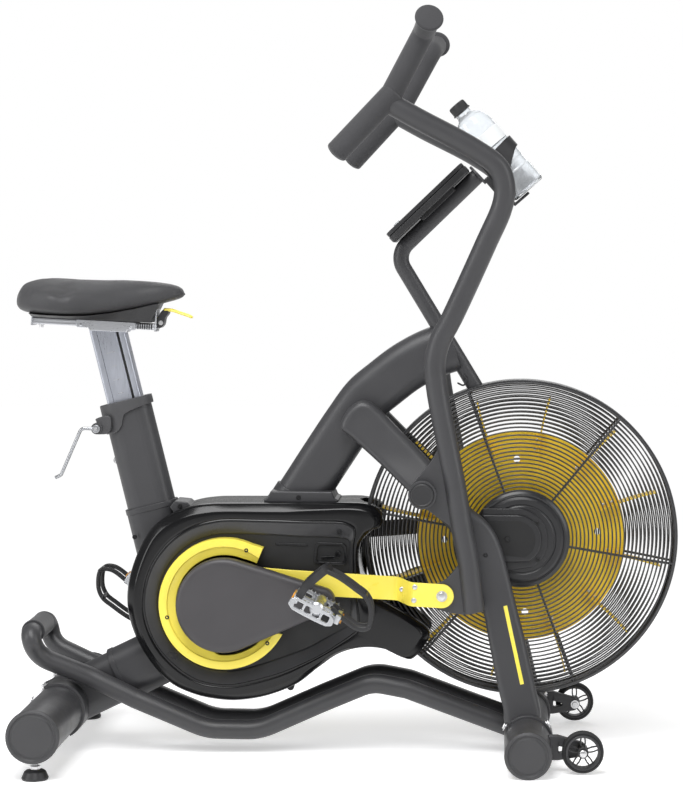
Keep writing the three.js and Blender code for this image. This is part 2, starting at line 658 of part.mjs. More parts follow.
const BAND_HALF = RIM_HALF - 2.4;
add('cage_band', latheY([
  [CAGE_R - 3, -BAND_HALF], [CAGE_R, -BAND_HALF], [CAGE_R + 1, 0],
  [CAGE_R, BAND_HALF], [CAGE_R - 3, BAND_HALF], [CAGE_R - 3, -BAND_HALF],
], FAN, 28), 'frame');

// right hub cover: a stepped disc, with a plinth that carries back under the side member
function rightHubCover() {
  const plinth = new THREE.Shape();
  plinth.moveTo(205, 416);
  plinth.lineTo(282, 416);
  plinth.absarc(282, 376, 40, rad(90), rad(-70), true);
  plinth.lineTo(222, 352);
  plinth.lineTo(205, 372);
  const disc = latheY([
    [9, -47.4], [84, -47.4], [84, -52], [76, -56], [72, -60], [9, -60], [9, -47.4],
  ], FAN, 24);
  return largest(cut(join(disc, plate(plinth, -70, -52, { bevel: 3 })),
    rod(8.4, -80, 80, FAN), memberBody));
}
add('hub_cover_right', rightHubCover(), 'black');
// the left one is a ring, cut away round the belt guard
const leftHubRing = latheY([
  [30, HUB_HALF + 1.4], [84, HUB_HALF + 1.4], [84, 52], [76, 55], [30, 55],
  [30, HUB_HALF + 1.4],
], FAN, 24);
add('hub_cover_left',
  largest(cut(leftHubRing, plate(inset(beltOutline, -0.5), HUB_HALF, 75))), 'black');

// ---------------------------------------------------------------- handle arms
// the right arm's centre line, from its foot up: [x, z, y]
const armStations = [
  [208.1, 262.8, -139], [197.9, 350.6, -139], [188.1, 400.5, -139], [176.1, 476.2, -139],
  [160.9, 555.4, -139], [144.3, 645.2, -139], [141, 691.3, -140], [149.8, 727.5, -141],
  [167.7, 762.1, -142], [228.3, 894.1, -148], [258, 963.2, -152], [260.5, 995.4, -155],
  [249.9, 1025.5, -158], [208.9, 1056.5, -165], [96.5, 1115.3, -186], [67.8, 1138, -190],
];
const armPath = new THREE.CatmullRomCurve3(
  armStations.map(([x, z, y]) => vec3(x, y, z)), false, 'centripetal').getPoints(18);
// the two grips fork from one point at the arm's top
const FORK = [67.8, -190, 1147.3];
const upperPath = filleted([FORK, [124, -204, 1252, 24], [134.3, -252, 1271.7]], 3);
const lowerPath = [vec3(...FORK), vec3(-22.9, -204, 1049.9)];
const CORE_R = 12.5;               // rods inside the grips

// drop-shaped bracket plate round the pivot boss: [x, z]
const bracketOutline = [
  [106, 446], [99, 464], [104, 482], [118, 500], [134, 520], [150, 545],
  [166, 545], [176, 476], [188, 400], [170, 408], [148, 422], [126, 438],
];
// rod lever plate at the arm's foot: [x, z]
const leverOutline = [
  [131, 289], [138, 272], [158, 262], [208, 258], [222, 270],
  [206, 320], [196, 352], [184, 345], [160, 318], [138, 306],
];
function handleArm() {
  // the foot is flattened on its inner side, where it swings past the side member
  const arm = cut(tube(armPath, ARM_R, 8), box(200, 30, 110, 220, -108.2, 275));
  const upperCore = tube([...upperPath.slice(0, -1), vec3(133.6, -248, 1270.4)], CORE_R, 8);
  const lowerCore = tube([vec3(...FORK), vec3(-19.5, -203.5, 1053.5)], CORE_R, 8);
  const bracket = cut(plate(bracketOutline, -143, -136), rod(9.6, -170, 0, PIVOT));
  const boss = cut(rod(24, -158, -121, PIVOT), rod(9.4, -200, 0, PIVOT));
  const lever = plate(leverOutline, -143, -137);
  const leverPin = rod(6, -151.5, -140, ROD_PIN, 8);
  const pivotCap = join(rod(19.5, -168, -161, PIVOT),
    cut(rod(19.5, -162, -157, PIVOT), rod(9.6, -170, -150, PIVOT)));
  return join(arm, join(upperCore, lowerCore), bracket, boss, lever, leverPin, pivotCap);
}
addPair('handle_arm', handleArm(), 'frame');

// the grips are bored for the cores and cut back from the arm; the lower from the upper too
const coreClear = join(
  tube([vec3(67.3, -189.9, 1146.4), ...upperPath.slice(1, -1), vec3(133.7, -248.6, 1270.6)],
    CORE_R + 0.5, 8),
  tube([vec3(68.5, -189.9, 1147.9), vec3(-20, -203.6, 1053)], CORE_R + 0.5, 8));
const armClear = join(
  tube(armPath, ARM_R + 0.5, 8),
  tube([vec3(75, -189, 1131), vec3(67.2, -190.1, 1139.2)], ARM_R + 0.5, 8));
const grip = (path, ...others) =>
  largest(cut(tube(path, ARM_R + 0.6, 8), coreClear, armClear, ...others));
addPair('grip_upper', grip(upperPath), 'grip');
addPair('grip_lower', grip(lowerPath, tube(upperPath, ARM_R + 1.1, 8)), 'grip');

// ---------------------------------------------------------------- drive rods
// a flat bar from the crank pin, joggled outwards to the arm's pin
const ROD_HALF = 20.5;             // half height of the bar
const ROD_STEP = -60;              // sideways joggle, between the next two x stations
const STEP_START = 70;
const STEP_END = 104;
function driveRod() {
  const slope = (ROD_PIN[1] - CRANK_PIN[1]) / (ROD_PIN[0] - CRANK_PIN[0]);
  // the point at x, a given height above the rod's centre line
  const onRod = (x, above) => [x, CRANK_PIN[1] + slope * (x - CRANK_PIN[0]) + above];

  const rear = new THREE.Shape();
  rear.absarc(...CRANK_PIN, 26, rad(70), rad(290), false);
  rear.lineTo(...onRod(-120, -21));
  rear.lineTo(...onRod(72, -ROD_HALF));
  rear.lineTo(...onRod(72, ROD_HALF));
  rear.lineTo(...onRod(-120, 21));

  const front = new THREE.Shape();
  front.absarc(...ROD_PIN, ROD_HALF, rad(-93), rad(87), false);
  front.lineTo(...onRod(102, ROD_HALF));
  front.lineTo(...onRod(102, -ROD_HALF));

  const stepOutline = [
    onRod(STEP_START, -ROD_HALF), onRod(STEP_END, -ROD_HALF),
    onRod(STEP_END, ROD_HALF), onRod(STEP_START, ROD_HALF),
  ];
  const step = solid(sheared(plateGeometry(stepOutline, -89.5, -83.5),
    (x) => ROD_STEP * (x - STEP_START) / (STEP_END - STEP_START)));
  const body = join(plate(rear, -89, -84, { curve: 6 }), step,
    plate(front, -89 + ROD_STEP, -84 + ROD_STEP, { curve: 6 }));
  return cut(body, rod(14, -95, -80, CRANK_PIN, 12), rod(6.5, -160, -130, ROD_PIN, 10));
}
const rightRod = driveRod();
add('drive_rod_right', rightRod, 'yellow');
// the left crank is half a turn on, so its rod drops to the crank pin at the bottom of its
// circle
const LEFT_ROD_TURN = 13.3;
const rodAboutPin = solid(geometryOf(rightRod).translate(-ROD_PIN[0], 0, -ROD_PIN[1]));
add('drive_rod_left', mirrored(placed(rodAboutPin, -LEFT_ROD_TURN, ROD_PIN)), 'yellow');

// ---------------------------------------------------------------- console
const SCREEN = [120, 110];         // recess sizes, length by width
const BUTTON = [14, 30];
const SCREEN_X = 18;
const BUTTON_X = -65;
const BUTTON_Y = 28;
const onConsole = (body) => placed(body, CONSOLE_TILT, CONSOLE);
const insert = ([length, width], ...rest) =>
  onConsole(box(length - 2 * GAP, width - 2 * GAP, ...rest));

const consoleShell = cut(box(185, 160, 20, 0, 0, 0),
  box(...SCREEN, 5, SCREEN_X, 0, 9.2),
  box(...BUTTON, 5, BUTTON_X, -BUTTON_Y, 9.2),
  box(...BUTTON, 5, BUTTON_X, BUTTON_Y, 9.2));
add('console_case', cut(onConsole(join(consoleShell, box(60, 26, 8, 12, 0, -12))),
  consoleMastClear), 'black');
add('console_screen', insert(SCREEN, 3, SCREEN_X, 0, 8.4), 'screen');
add('button_left', insert(BUTTON, 5, BUTTON_X, BUTTON_Y, 11.2), 'white');
add('button_right', insert(BUTTON, 5, BUTTON_X, -BUTTON_Y, 11.2), 'white');

// ---------------------------------------------------------------- bottle
// its axis runs from the base up and back towards the rider
const onBottle = (body) => placed(body, BOTTLE_TILT, BOTTLE_BASE);
add('bottle', onBottle(latheZ([
  [0, 0], [30, 0], [BOTTLE_R, 4], [BOTTLE_R, 150], [28, 165], [15, 174], [15, 183], [0, 183],
], 16)), 'clear');
add('bottle_cap', onBottle(latheZ(
  [[0, 183.4], [16.5, 183.4], [16.5, 198], [14, 200], [0, 200]], 12)), 'black');

// a cup and an upper ring, joined by a strip and a block on the rear side
function bottleHolder() {
  const inner = BOTTLE_R + 0.5;
  const outer = BOTTLE_R + 4;
  const holder = cut(join(
    latheZ([[0, -6], [outer, -6], [outer, 12], [0, 12]], 16),
    latheZ([[inner, 62], [outer, 62], [outer, 92], [inner, 92], [inner, 62]], 16),
    box(5, 30, 98, -BOTTLE_R - 2.5, 0, 43),
    box(16, 34, 40, -BOTTLE_R - 9, 0, 46),
  ), latheZ([[0, -0.4], [inner, -0.4], [inner, 230], [0, 230]], 16));
  return cut(largest(onBottle(holder)), consoleMastClear, mastFlange(20.4, 4.8));
}
add('bottle_holder', bottleHolder(), 'black');

export default group;
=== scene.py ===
import math

import bmesh
import bpy
import numpy as np
from mathutils import Matrix, Vector


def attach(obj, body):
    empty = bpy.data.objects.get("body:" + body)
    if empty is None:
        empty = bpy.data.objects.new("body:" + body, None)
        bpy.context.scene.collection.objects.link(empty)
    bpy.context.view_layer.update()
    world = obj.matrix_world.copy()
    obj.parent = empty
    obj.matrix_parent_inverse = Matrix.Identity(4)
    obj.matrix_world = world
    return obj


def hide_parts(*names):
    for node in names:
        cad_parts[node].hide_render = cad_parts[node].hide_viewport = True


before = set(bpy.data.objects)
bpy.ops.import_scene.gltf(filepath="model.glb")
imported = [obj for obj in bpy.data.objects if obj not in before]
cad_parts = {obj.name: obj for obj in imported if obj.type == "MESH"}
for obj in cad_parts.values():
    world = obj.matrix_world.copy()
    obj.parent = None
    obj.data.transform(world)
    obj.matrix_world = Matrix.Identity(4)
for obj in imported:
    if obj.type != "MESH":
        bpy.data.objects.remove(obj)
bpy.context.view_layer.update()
scene = bpy.context.scene
rad = math.radians
SX = 16.5                       # layout coordinates (mm) to the frame: x + 16.5
CRANK, FAN, PIVOT, ROD_PIN = (-227.0, 268.0), (290.0, 376.0), (119.6, 464.0), (153.0, 289.4)
REAR, FRONT, WHEEL = (-523.4, 75.2), (300.0, 40.0), (392.5, 38.0)
ARM_R = 18.5


# ------------------------------------------------------------------ node materials
def nodes_of(name):
    m = bpy.data.materials.new(name)
    m.use_nodes = True
    t = m.node_tree
    t.nodes.clear()
    out = t.nodes.new("ShaderNodeOutputMaterial")
    bs = t.nodes.new("ShaderNodeBsdfPrincipled")
    t.links.new(bs.outputs[0], out.inputs[0])
    return m, t, bs


def noise(t, scale, detail=4.0, stretch=None, rough=0.5, seed=0.0):
    tc = t.nodes.new("ShaderNodeTexCoord")
    mp = t.nodes.new("ShaderNodeMapping")
    mp.inputs["Location"].default_value = (seed, seed * 0.7, -seed)
    if stretch:
        mp.inputs["Scale"].default_value = stretch
    n = t.nodes.new("ShaderNodeTexNoise")
    n.inputs["Scale"].default_value = scale
    n.inputs["Detail"].default_value = detail
    n.inputs["Roughness"].default_value = rough
    t.links.new(tc.outputs["Object"], mp.inputs[0])
    t.links.new(mp.outputs[0], n.inputs["Vector"])
    return n.outputs["Fac"]


def ramp(t, fac, a, b, pa=0.3, pb=0.7):
    r = t.nodes.new("ShaderNodeValToRGB")
    r.color_ramp.elements[0].position, r.color_ramp.elements[1].position = pa, pb
    r.color_ramp.elements[0].color, r.color_ramp.elements[1].color = (*a, 1), (*b, 1)
    t.links.new(fac, r.inputs[0])
    return r.outputs[0]


def mapr(t, v, lo, hi, a=0.0, b=1.0):
    m = t.nodes.new("ShaderNodeMapRange")
    m.inputs[1].default_value, m.inputs[2].default_value = a, b
    m.inputs[3].default_value, m.inputs[4].default_value = lo, hi
    t.links.new(v, m.inputs[0])
    return m.outputs[0]


def mathn(t, op, a, b=None):
    m = t.nodes.new("ShaderNodeMath")
    m.operation = op
    for i, v in enumerate((a, b)):
        if v is None:
            continue
        if isinstance(v, (int, float)):
            m.inputs[i].default_value = v
        else:
            t.links.new(v, m.inputs[i])
    return m.outputs[0]


def mixc(t, fac, a, b):
    m = t.nodes.new("ShaderNodeMix")
    m.data_type = "RGBA"
    t.links.new(fac, m.inputs[0])
    for s, v in ((6, a), (7, b)):
        if isinstance(v, tuple):
            m.inputs[s].default_value = (*v, 1)
        else:
            t.links.new(v, m.inputs[s])
    return m.outputs[2]


def bump(t, bs, heights):
    prev = None
    for h, dist in heights:
        b = t.nodes.new("ShaderNodeBump")
        b.inputs["Strength"].default_value = 1.0
        b.inputs["Distance"].default_value = dist
        t.links.new(h, b.inputs["Height"])
        if prev is not None:
            t.links.new(prev, b.inputs["Normal"])
        prev = b.outputs[0]
    t.links.new(prev, bs.inputs["Normal"])


def paint(name, base, rough=0.5, metal=0.0, vary=0.12, grain=1400.0, depth=0.00004, wear=None, coat=0.0,
          spec=0.5, rvary=0.08, dust=0.0):
    """Coated or moulded surface: cloudy colour and roughness variation, a fine grain, paler worn edges."""
    m, t, bs = nodes_of(name)
    lo = tuple(c * (1 - vary) for c in base)
    hi = tuple(min(1.0, c * (1 + vary)) for c in base)
    col = ramp(t, noise(t, 14, 5), lo, hi)
    fine = noise(t, grain, 2, rough=0.6, seed=3.1)
    col = mixc(t, mapr(t, fine, 0.0, 0.10, 0.35, 0.75), col, tuple(min(1.0, c * 1.4 + 0.001) for c in base))
    if wear:
        g = t.nodes.new("ShaderNodeNewGeometry")
        edge = mapr(t, g.outputs["Pointiness"], 0.0, 1.0, 0.535, 0.60)
        edge = mathn(t, "MULTIPLY", edge, mapr(t, noise(t, 60, 6, seed=7.7), 0.0, 1.0, 0.42, 0.68))
        col = mixc(t, mathn(t, "MULTIPLY", edge, 0.22), col, wear)
    t.links.new(col, bs.inputs["Base Color"])
    r = mathn(t, "ADD", mapr(t, noise(t, 26, 6, seed=5.5), rough - rvary, rough + rvary, 0.3, 0.7), mapr(t, fine, -0.03, 0.03))
    if dust:
        r = mathn(t, "ADD", r, mapr(t, noise(t, 9, 8, seed=11.0), 0.0, dust, 0.5, 0.8))
    t.links.new(r, bs.inputs["Roughness"])
    bs.inputs["Metallic"].default_value = metal
    bs.inputs["Specular IOR Level"].default_value = spec
    if coat:
        bs.inputs["Coat Weight"].default_value = coat
        bs.inputs["Coat Roughness"].default_value = 0.06
    bump(t, bs, [(fine, depth), (noise(t, 45, 3, seed=9.2), depth * 0.8)])
    return m


def brushed(name, base, rough, stretch, grain=900.0, depth=0.00002, metal=1.0):
    """Machined or brushed metal: fine lines stretched one way, smudged roughness."""
    m, t, bs = nodes_of(name)
    lines = noise(t, grain, 3, stretch=stretch, rough=0.7)
    smudge = noise(t, 22, 6, seed=4.2)
    col = mixc(t, mapr(t, lines, 0, 1, 0.3, 0.7), tuple(c * 0.92 for c in base), tuple(min(1, c * 1.04) for c in base))
    t.links.new(mixc(t, mapr(t, smudge, 0, 0.10, 0.45, 0.75), col, tuple(c * 0.8 for c in base)), bs.inputs["Base Color"])
    r = mathn(t, "ADD", mapr(t, lines, rough - 0.06, rough + 0.08, 0.3, 0.7), mapr(t, smudge, -0.03, 0.08, 0.4, 0.7))
    t.links.new(r, bs.inputs["Roughness"])
    bs.inputs["Metallic"].default_value = metal
    bump(t, bs, [(lines, depth)])
    return m


def vinyl(name, base):
    """Grained seat vinyl: cell-like leather grain, shallow creases, slight sheen."""
    m, t, bs = nodes_of(name)
    tc = t.nodes.new("ShaderNodeTexCoord")
    v = t.nodes.new("ShaderNodeTexVoronoi")
    v.feature = "DISTANCE_TO_EDGE"
    v.inputs["Scale"].default_value = 620
    wob = t.nodes.new("ShaderNodeVectorMath")
    wob.operation = "ADD"
    n = t.nodes.new("ShaderNodeTexNoise")
    n.inputs["Scale"].default_value = 260
    t.links.new(tc.outputs["Object"], n.inputs["Vector"])
    sc = t.nodes.new("ShaderNodeVectorMath")
    sc.operation = "SCALE"
    sc.inputs["Scale"].default_value = 0.0022
    t.links.new(n.outputs["Color"], sc.inputs[0])
    t.links.new(tc.outputs["Object"], wob.inputs[0])
    t.links.new(sc.outputs[0], wob.inputs[1])
    t.links.new(wob.outputs[0], v.inputs["Vector"])
    cell = mapr(t, v.outputs["Distance"], 0.0, 1.0, 0.0, 0.10)
    col = mixc(t, cell, tuple(c * 0.62 for c in base), base)
    col = mixc(t, mapr(t, noise(t, 12, 4, seed=2.0), 0.0, 0.35, 0.35, 0.7), col, tuple(c * 1.3 for c in base))
    t.links.new(col, bs.inputs["Base Color"])
    r = mathn(t, "ADD", mapr(t, cell, 0.62, 0.46), mapr(t, noise(t, 18, 5, seed=6.0), -0.05, 0.08, 0.3, 0.7))
    t.links.new(r, bs.inputs["Roughness"])
    bs.inputs["Sheen Weight"].default_value = 0.12
    bs.inputs["Sheen Roughness"].default_value = 0.4
    bump(t, bs, [(cell, 0.00016), (noise(t, 70, 4, seed=8.0), 0.0003)])
    return m


def foam(name, base):
    """Closed-cell foam sleeve: open pores and a dusty, very rough skin."""
    m, t, bs = nodes_of(name)
    pores = noise(t, 900, 6, rough=0.75)
    col = mixc(t, mapr(t, pores, 0, 1, 0.35, 0.65), tuple(c * 0.6 for c in base), tuple(c * 1.25 for c in base))
    t.links.new(mixc(t, mapr(t, noise(t, 17, 4, seed=1.3), 0, 0.3, 0.4, 0.7), col, tuple(c * 1.5 for c in base)), bs.inputs["Base Color"])
    t.links.new(mapr(t, pores, 0.75, 0.95, 0.3, 0.7), bs.inputs["Roughness"])
    bs.inputs["Sheen Weight"].default_value = 0.2
    bump(t, bs, [(pores, 0.00012), (noise(t, 120, 3, seed=2.0), 0.0002)])
    return m


def clear(name, tint):
    """Thin clear bottle plastic with faint waviness."""
    m, t, bs = nodes_of(name)
    t.links.new(ramp(t, noise(t, 30, 3), tuple(c * 0.97 for c in tint), tint), bs.inputs["Base Color"])
    t.links.new(mapr(t, noise(t, 55, 5, seed=2.2), 0.04, 0.16, 0.3, 0.7), bs.inputs["Roughness"])
    bs.inputs["Transmission Weight"].default_value = 0.92
    bs.inputs["IOR"].default_value = 1.38
    bump(t, bs, [(noise(t, 40, 2, seed=5.0), 0.0004)])
    return m


M = {
    "frame": paint("powder_coat", (0.040, 0.040, 0.043), 0.42, 0.0, 0.06, 2200, 0.00004, wear=(0.11, 0.11, 0.115), rvary=0.03),
    "gloss_black": paint("gloss_shell", (0.0040, 0.0040, 0.0046), 0.17, 0.0, 0.08, 1800, 0.000004, spec=0.36, rvary=0.02, dust=0.008),
    "satin_shell": paint("satin_shell", (0.034, 0.034, 0.037), 0.42, 0.0, 0.12, 1600, 0.00003, wear=(0.09, 0.09, 0.095), rvary=0.06),
    "yellow_paint": paint("yellow_moulding", (0.86, 0.71, 0.085), 0.34, 0.0, 0.05, 1500, 0.000015, wear=(0.95, 0.87, 0.25), coat=0.2),
    "fan_yellow": paint("fan_paint", (0.92, 0.62, 0.030), 0.42, 0.0, 0.07, 1200, 0.00002, wear=(0.9, 0.7, 0.15)),
    "steel": brushed("machined_steel", (0.60, 0.61, 0.63), 0.30, (1, 14, 1)),
    "aluminium": brushed("anodised_aluminium", (0.62, 0.63, 0.66), 0.32, (0.2, 1, 1), 500, 0.0000012),
    "post": brushed("post_extrusion", (0.50, 0.52, 0.58), 0.32, (1, 1, 0.06), 900, 0.0000015),
    "chrome": brushed("polished_chrome", (0.44, 0.45, 0.47), 0.32, (1, 1, 1), 300, 0.0000006),
    "cast_silver": paint("cast_silver", (0.50, 0.51, 0.53), 0.28, 0.85, 0.10, 500, 0.00006, wear=(0.9, 0.9, 0.92)),
    "black_plastic": paint("textured_black", (0.017, 0.017, 0.0185), 0.44, 0.0, 0.12, 1500, 0.000015, wear=(0.07, 0.07, 0.075)),
    "foam": foam("foam_sleeve", (0.034, 0.034, 0.037)),
    "vinyl": vinyl("seat_vinyl", (0.040, 0.040, 0.043)),
    "clear_plastic": clear("clear_plastic", (0.84, 0.86, 0.88)),
    "cover_grey": paint("crank_cover_plastic", (0.047, 0.0445, 0.048), 0.44, 0.0, 0.07, 2000, 0.00004, wear=(0.17, 0.17, 0.175)),
    "screen": paint("display_glass", (0.012, 0.015, 0.017), 0.08, 0.0, 0.1, 800, 0.000002, coat=0.6, rvary=0.03),
    "lcd": paint("lcd_panel", (0.19, 0.22, 0.17), 0.25, 0.0, 0.05, 2600, 0.000004),
    "button_grey": paint("key_plastic", (0.55, 0.57, 0.58), 0.42, 0.0, 0.04, 1600, 0.00003, wear=(0.75, 0.75, 0.76)),
    "belt_rubber": paint("belt_rubber", (0.018, 0.018, 0.018), 0.7, 0.0, 0.2, 900, 0.00008),
    "wheel_plastic": paint("wheel_moulding", (0.026, 0.026, 0.028), 0.40, 0.0, 0.12, 1300, 0.00003, wear=(0.09, 0.09, 0.09)),
    "tyre": paint("tyre_rubber", (0.014, 0.014, 0.015), 0.72, 0.0, 0.2, 900, 0.00010),
    "black_screw": paint("blackened_screw", (0.008, 0.008, 0.009), 0.35, 0.3, 0.2, 1800, 0.00002),
    "bolt": brushed("zinc_bolt", (0.66, 0.66, 0.67), 0.28, (1, 1, 1), 1400),
    "amber": paint("amber_reflector", (0.70, 0.30, 0.03), 0.18, 0.0, 0.08, 700, 0.00006, coat=0.4),
    # matt near-black: the housing's recess floor, and painted shade laid into the post's grooves and the hub's slot
    "dark": paint("matt_black_and_painted_shade", (0.006, 0.006, 0.0065), 0.55, 0.0, 0.2, 1200, 0.00003),
    "wire": paint("wire_coat", (0.028, 0.028, 0.030), 0.36, 0.0, 0.12, 1500, 0.00002, wear=(0.09, 0.09, 0.095), coat=0.15),
    "label": paint("bottle_band", (0.72, 0.74, 0.75), 0.4, 0.0, 0.12, 300, 0.00002),
}


# ------------------------------------------------------------------ mesh building (millimetres, layout coordinates)
class Part:
    def __init__(self):
        self.v, self.f, self.m, self.n = [], [], [], 0

    def add(self, verts, faces, mi=0):
        verts = np.asarray(verts, float).reshape(-1, 3)
        self.v.append(verts)
        for f in faces:
            self.f.append([i + self.n for i in f])
            self.m.append(mi)
        self.n += len(verts)
        return self

    def map(self, fn, start=0):
        """Moves the vertices added from block `start` on."""
        for k in range(start, len(self.v)):
            self.v[k] = np.array([fn(p) for p in self.v[k]], float)
        return self

    def mark(self):
        return len(self.v)

    def copy(self):
        q = Part()
        q.v, q.f, q.m, q.n = [a.copy() for a in self.v], [list(f) for f in self.f], list(self.m), self.n
        return q

    def mirror(self):
        q = self.copy()
        q.v = [a * [1, -1, 1] for a in q.v]
        q.f = [f[::-1] for f in q.f]
        return q

    def half_turn(self, c=CRANK):
        """Half a turn about the crank axis and over to the other side."""
        q = self.copy()
        q.v = [np.array([2 * c[0], 0, 2 * c[1]]) - a for a in q.v]
        q.f = [f[::-1] for f in q.f]
        return q

    def merge(self, other, shift=0):
        off = self.n
        for a in other.v:
            self.v.append(a.copy())
        for f, m in zip(other.f, other.m):
            self.f.append([i + off for i in f])
            self.m.append(m + shift)
        self.n += other.n
        return self


def unit(v):
    v = np.asarray(v, float)
    return v / max(np.linalg.norm(v), 1e-12)


def emit(p, name, body, mats, rep=(), angle=35, weighted=True, subd=0, merge=0.004):
    me = bpy.data.meshes.new(name)
    v = (np.vstack(p.v) + [SX, 0, 0]) * 0.001
    me.from_pydata(v.tolist(), [], p.f)
    me.polygons.foreach_set("material_index", p.m)
    bm = bmesh.new()
    bm.from_mesh(me)
    bmesh.ops.remove_doubles(bm, verts=bm.verts, dist=merge * 0.001)
    bmesh.ops.dissolve_degenerate(bm, dist=1e-7, edges=bm.edges)
    bmesh.ops.recalc_face_normals(bm, faces=bm.faces)
    bm.to_mesh(me)
    bm.free()
    me.shade_smooth()
    me.set_sharp_from_angle(angle=rad(angle))
    for m in ([mats] if isinstance(mats, str) else mats):
        me.materials.append(M[m])
    o = bpy.data.objects.new(name, me)
    scene.collection.objects.link(o)
    if subd:
        s = o.modifiers.new("subd", "SUBSURF")
        s.levels = s.render_levels = subd
    if weighted:
        w = o.modifiers.new("wn", "WEIGHTED_NORMAL")
        w.keep_sharp = True
        w.weight = 60
    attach(o, body)
    if rep:
        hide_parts(*([rep] if isinstance(rep, str) else rep))
    return o


def circle(r, n=28, a0=0.0):
    return [(r * math.cos(a0 + 2 * math.pi * i / n), r * math.sin(a0 + 2 * math.pi * i / n)) for i in range(n)]


def oval(w, d, n=12):
    """Flat-sided oval: w across (second number), d deep (first number)."""
    r = w / 2
    a = d / 2 - r
    top = [(a + r * math.cos(t), r * math.sin(t)) for t in np.linspace(-math.pi / 2, math.pi / 2, n)]
    bot = [(-a + r * math.cos(t), r * math.sin(t)) for t in np.linspace(math.pi / 2, 3 * math.pi / 2, n)]
    side = lambda s: [(a * k, s * r) for k in (0.5, 0.0, -0.5)]
    return top + side(1) + bot + [(x, y) for x, y in side(-1)[::-1]]


def catmull(pts, n=6, closed=False):
    p = [np.asarray(q, float) for q in pts]
    out, m = [], len(p)
    for i in range(m if closed else m - 1):
        p0 = p[(i - 1) % m] if closed or i > 0 else 2 * p[0] - p[1]
        p1, p2 = p[i], p[(i + 1) % m]
        p3 = p[(i + 2) % m] if closed or i + 2 < m else 2 * p[-1] - p[-2]
        d = [max(np.linalg.norm(b - a) ** 0.5, 1e-6) for a, b in ((p0, p1), (p1, p2), (p2, p3))]
        t0, t1 = 0.0, d[0]
        t2, t3 = t1 + d[1], t1 + d[1] + d[2]
        for k in range(n):
            t = t1 + (t2 - t1) * k / n
            a1 = (t1 - t) / (t1 - t0) * p0 + (t - t0) / (t1 - t0) * p1
            a2 = (t2 - t) / (t2 - t1) * p1 + (t - t1) / (t2 - t1) * p2
            a3 = (t3 - t) / (t3 - t2) * p2 + (t - t2) / (t3 - t2) * p3
            b1 = (t2 - t) / (t2 - t0) * a1 + (t - t0) / (t2 - t0) * a2
            b2 = (t3 - t) / (t3 - t1) * a2 + (t - t1) / (t3 - t1) * a3
            out.append((t2 - t) / (t2 - t1) * b1 + (t - t1) / (t2 - t1) * b2)
    if not closed:
        out.append(p[-1])
    return out


def fillet(pts, n=8):
    """Polyline with true arcs at its corners: each point may carry a radius after its coordinates."""
    dim = 3 if len(pts[0]) >= 3 else 2
    P = [np.asarray(q[:dim], float) for q in pts]
    R = [(q[dim] if len(q) > dim else 0) for q in pts]
    out = [P[0]]
    for i in range(1, len(P) - 1):
        a, b = P[i - 1] - P[i], P[i + 1] - P[i]
        la, lb = np.linalg.norm(a), np.linalg.norm(b)
        cosang = float(np.clip(a @ b / la / lb, -1, 1))
        ang = math.acos(cosang)
        if not R[i] or ang > 3.10:
            out.append(P[i])
            continue
        t = min(R[i] / math.tan(ang / 2), la * 0.49, lb * 0.49)
        r = t * math.tan(ang / 2)
        ua, ub = a / la, b / lb
        c = P[i] + unit(ua + ub) * (r / math.sin(ang / 2))
        s, e = P[i] + ua * t - c, P[i] + ub * t - c
        w = math.acos(float(np.clip(s @ e / (r * r), -1, 1)))
        for k in range(n + 1):
            f = k / n
            out.append(c + (math.sin((1 - f) * w) * s + math.sin(f * w) * e) / max(math.sin(w), 1e-9))
    out.append(P[-1])
    return out


def dense(pts, step):
    out = [np.asarray(pts[0], float)]
    for a, b in zip(pts[:-1], pts[1:]):
        a, b = np.asarray(a, float), np.asarray(b, float)
        k = max(1, int(np.linalg.norm(b - a) / step))
        out += [a + (b - a) * j / k for j in range(1, k + 1)]
    return out


def frames(path, up=(0, 1, 0)):
    P = np.array(path, float)
    T = np.gradient(P, axis=0)
    T /= np.linalg.norm(T, axis=1)[:, None]
    up = np.asarray(up, float)
    if abs(up @ T[0]) > 0.9:
        up = np.array([0, 0, 1.0])
    B = unit(up - (up @ T[0]) * T[0])
    out = []
    for i in range(len(P)):
        B = unit(B - (B @ T[i]) * T[i])
        out.append((P[i], np.cross(B, T[i]), B, T[i]))
    return out


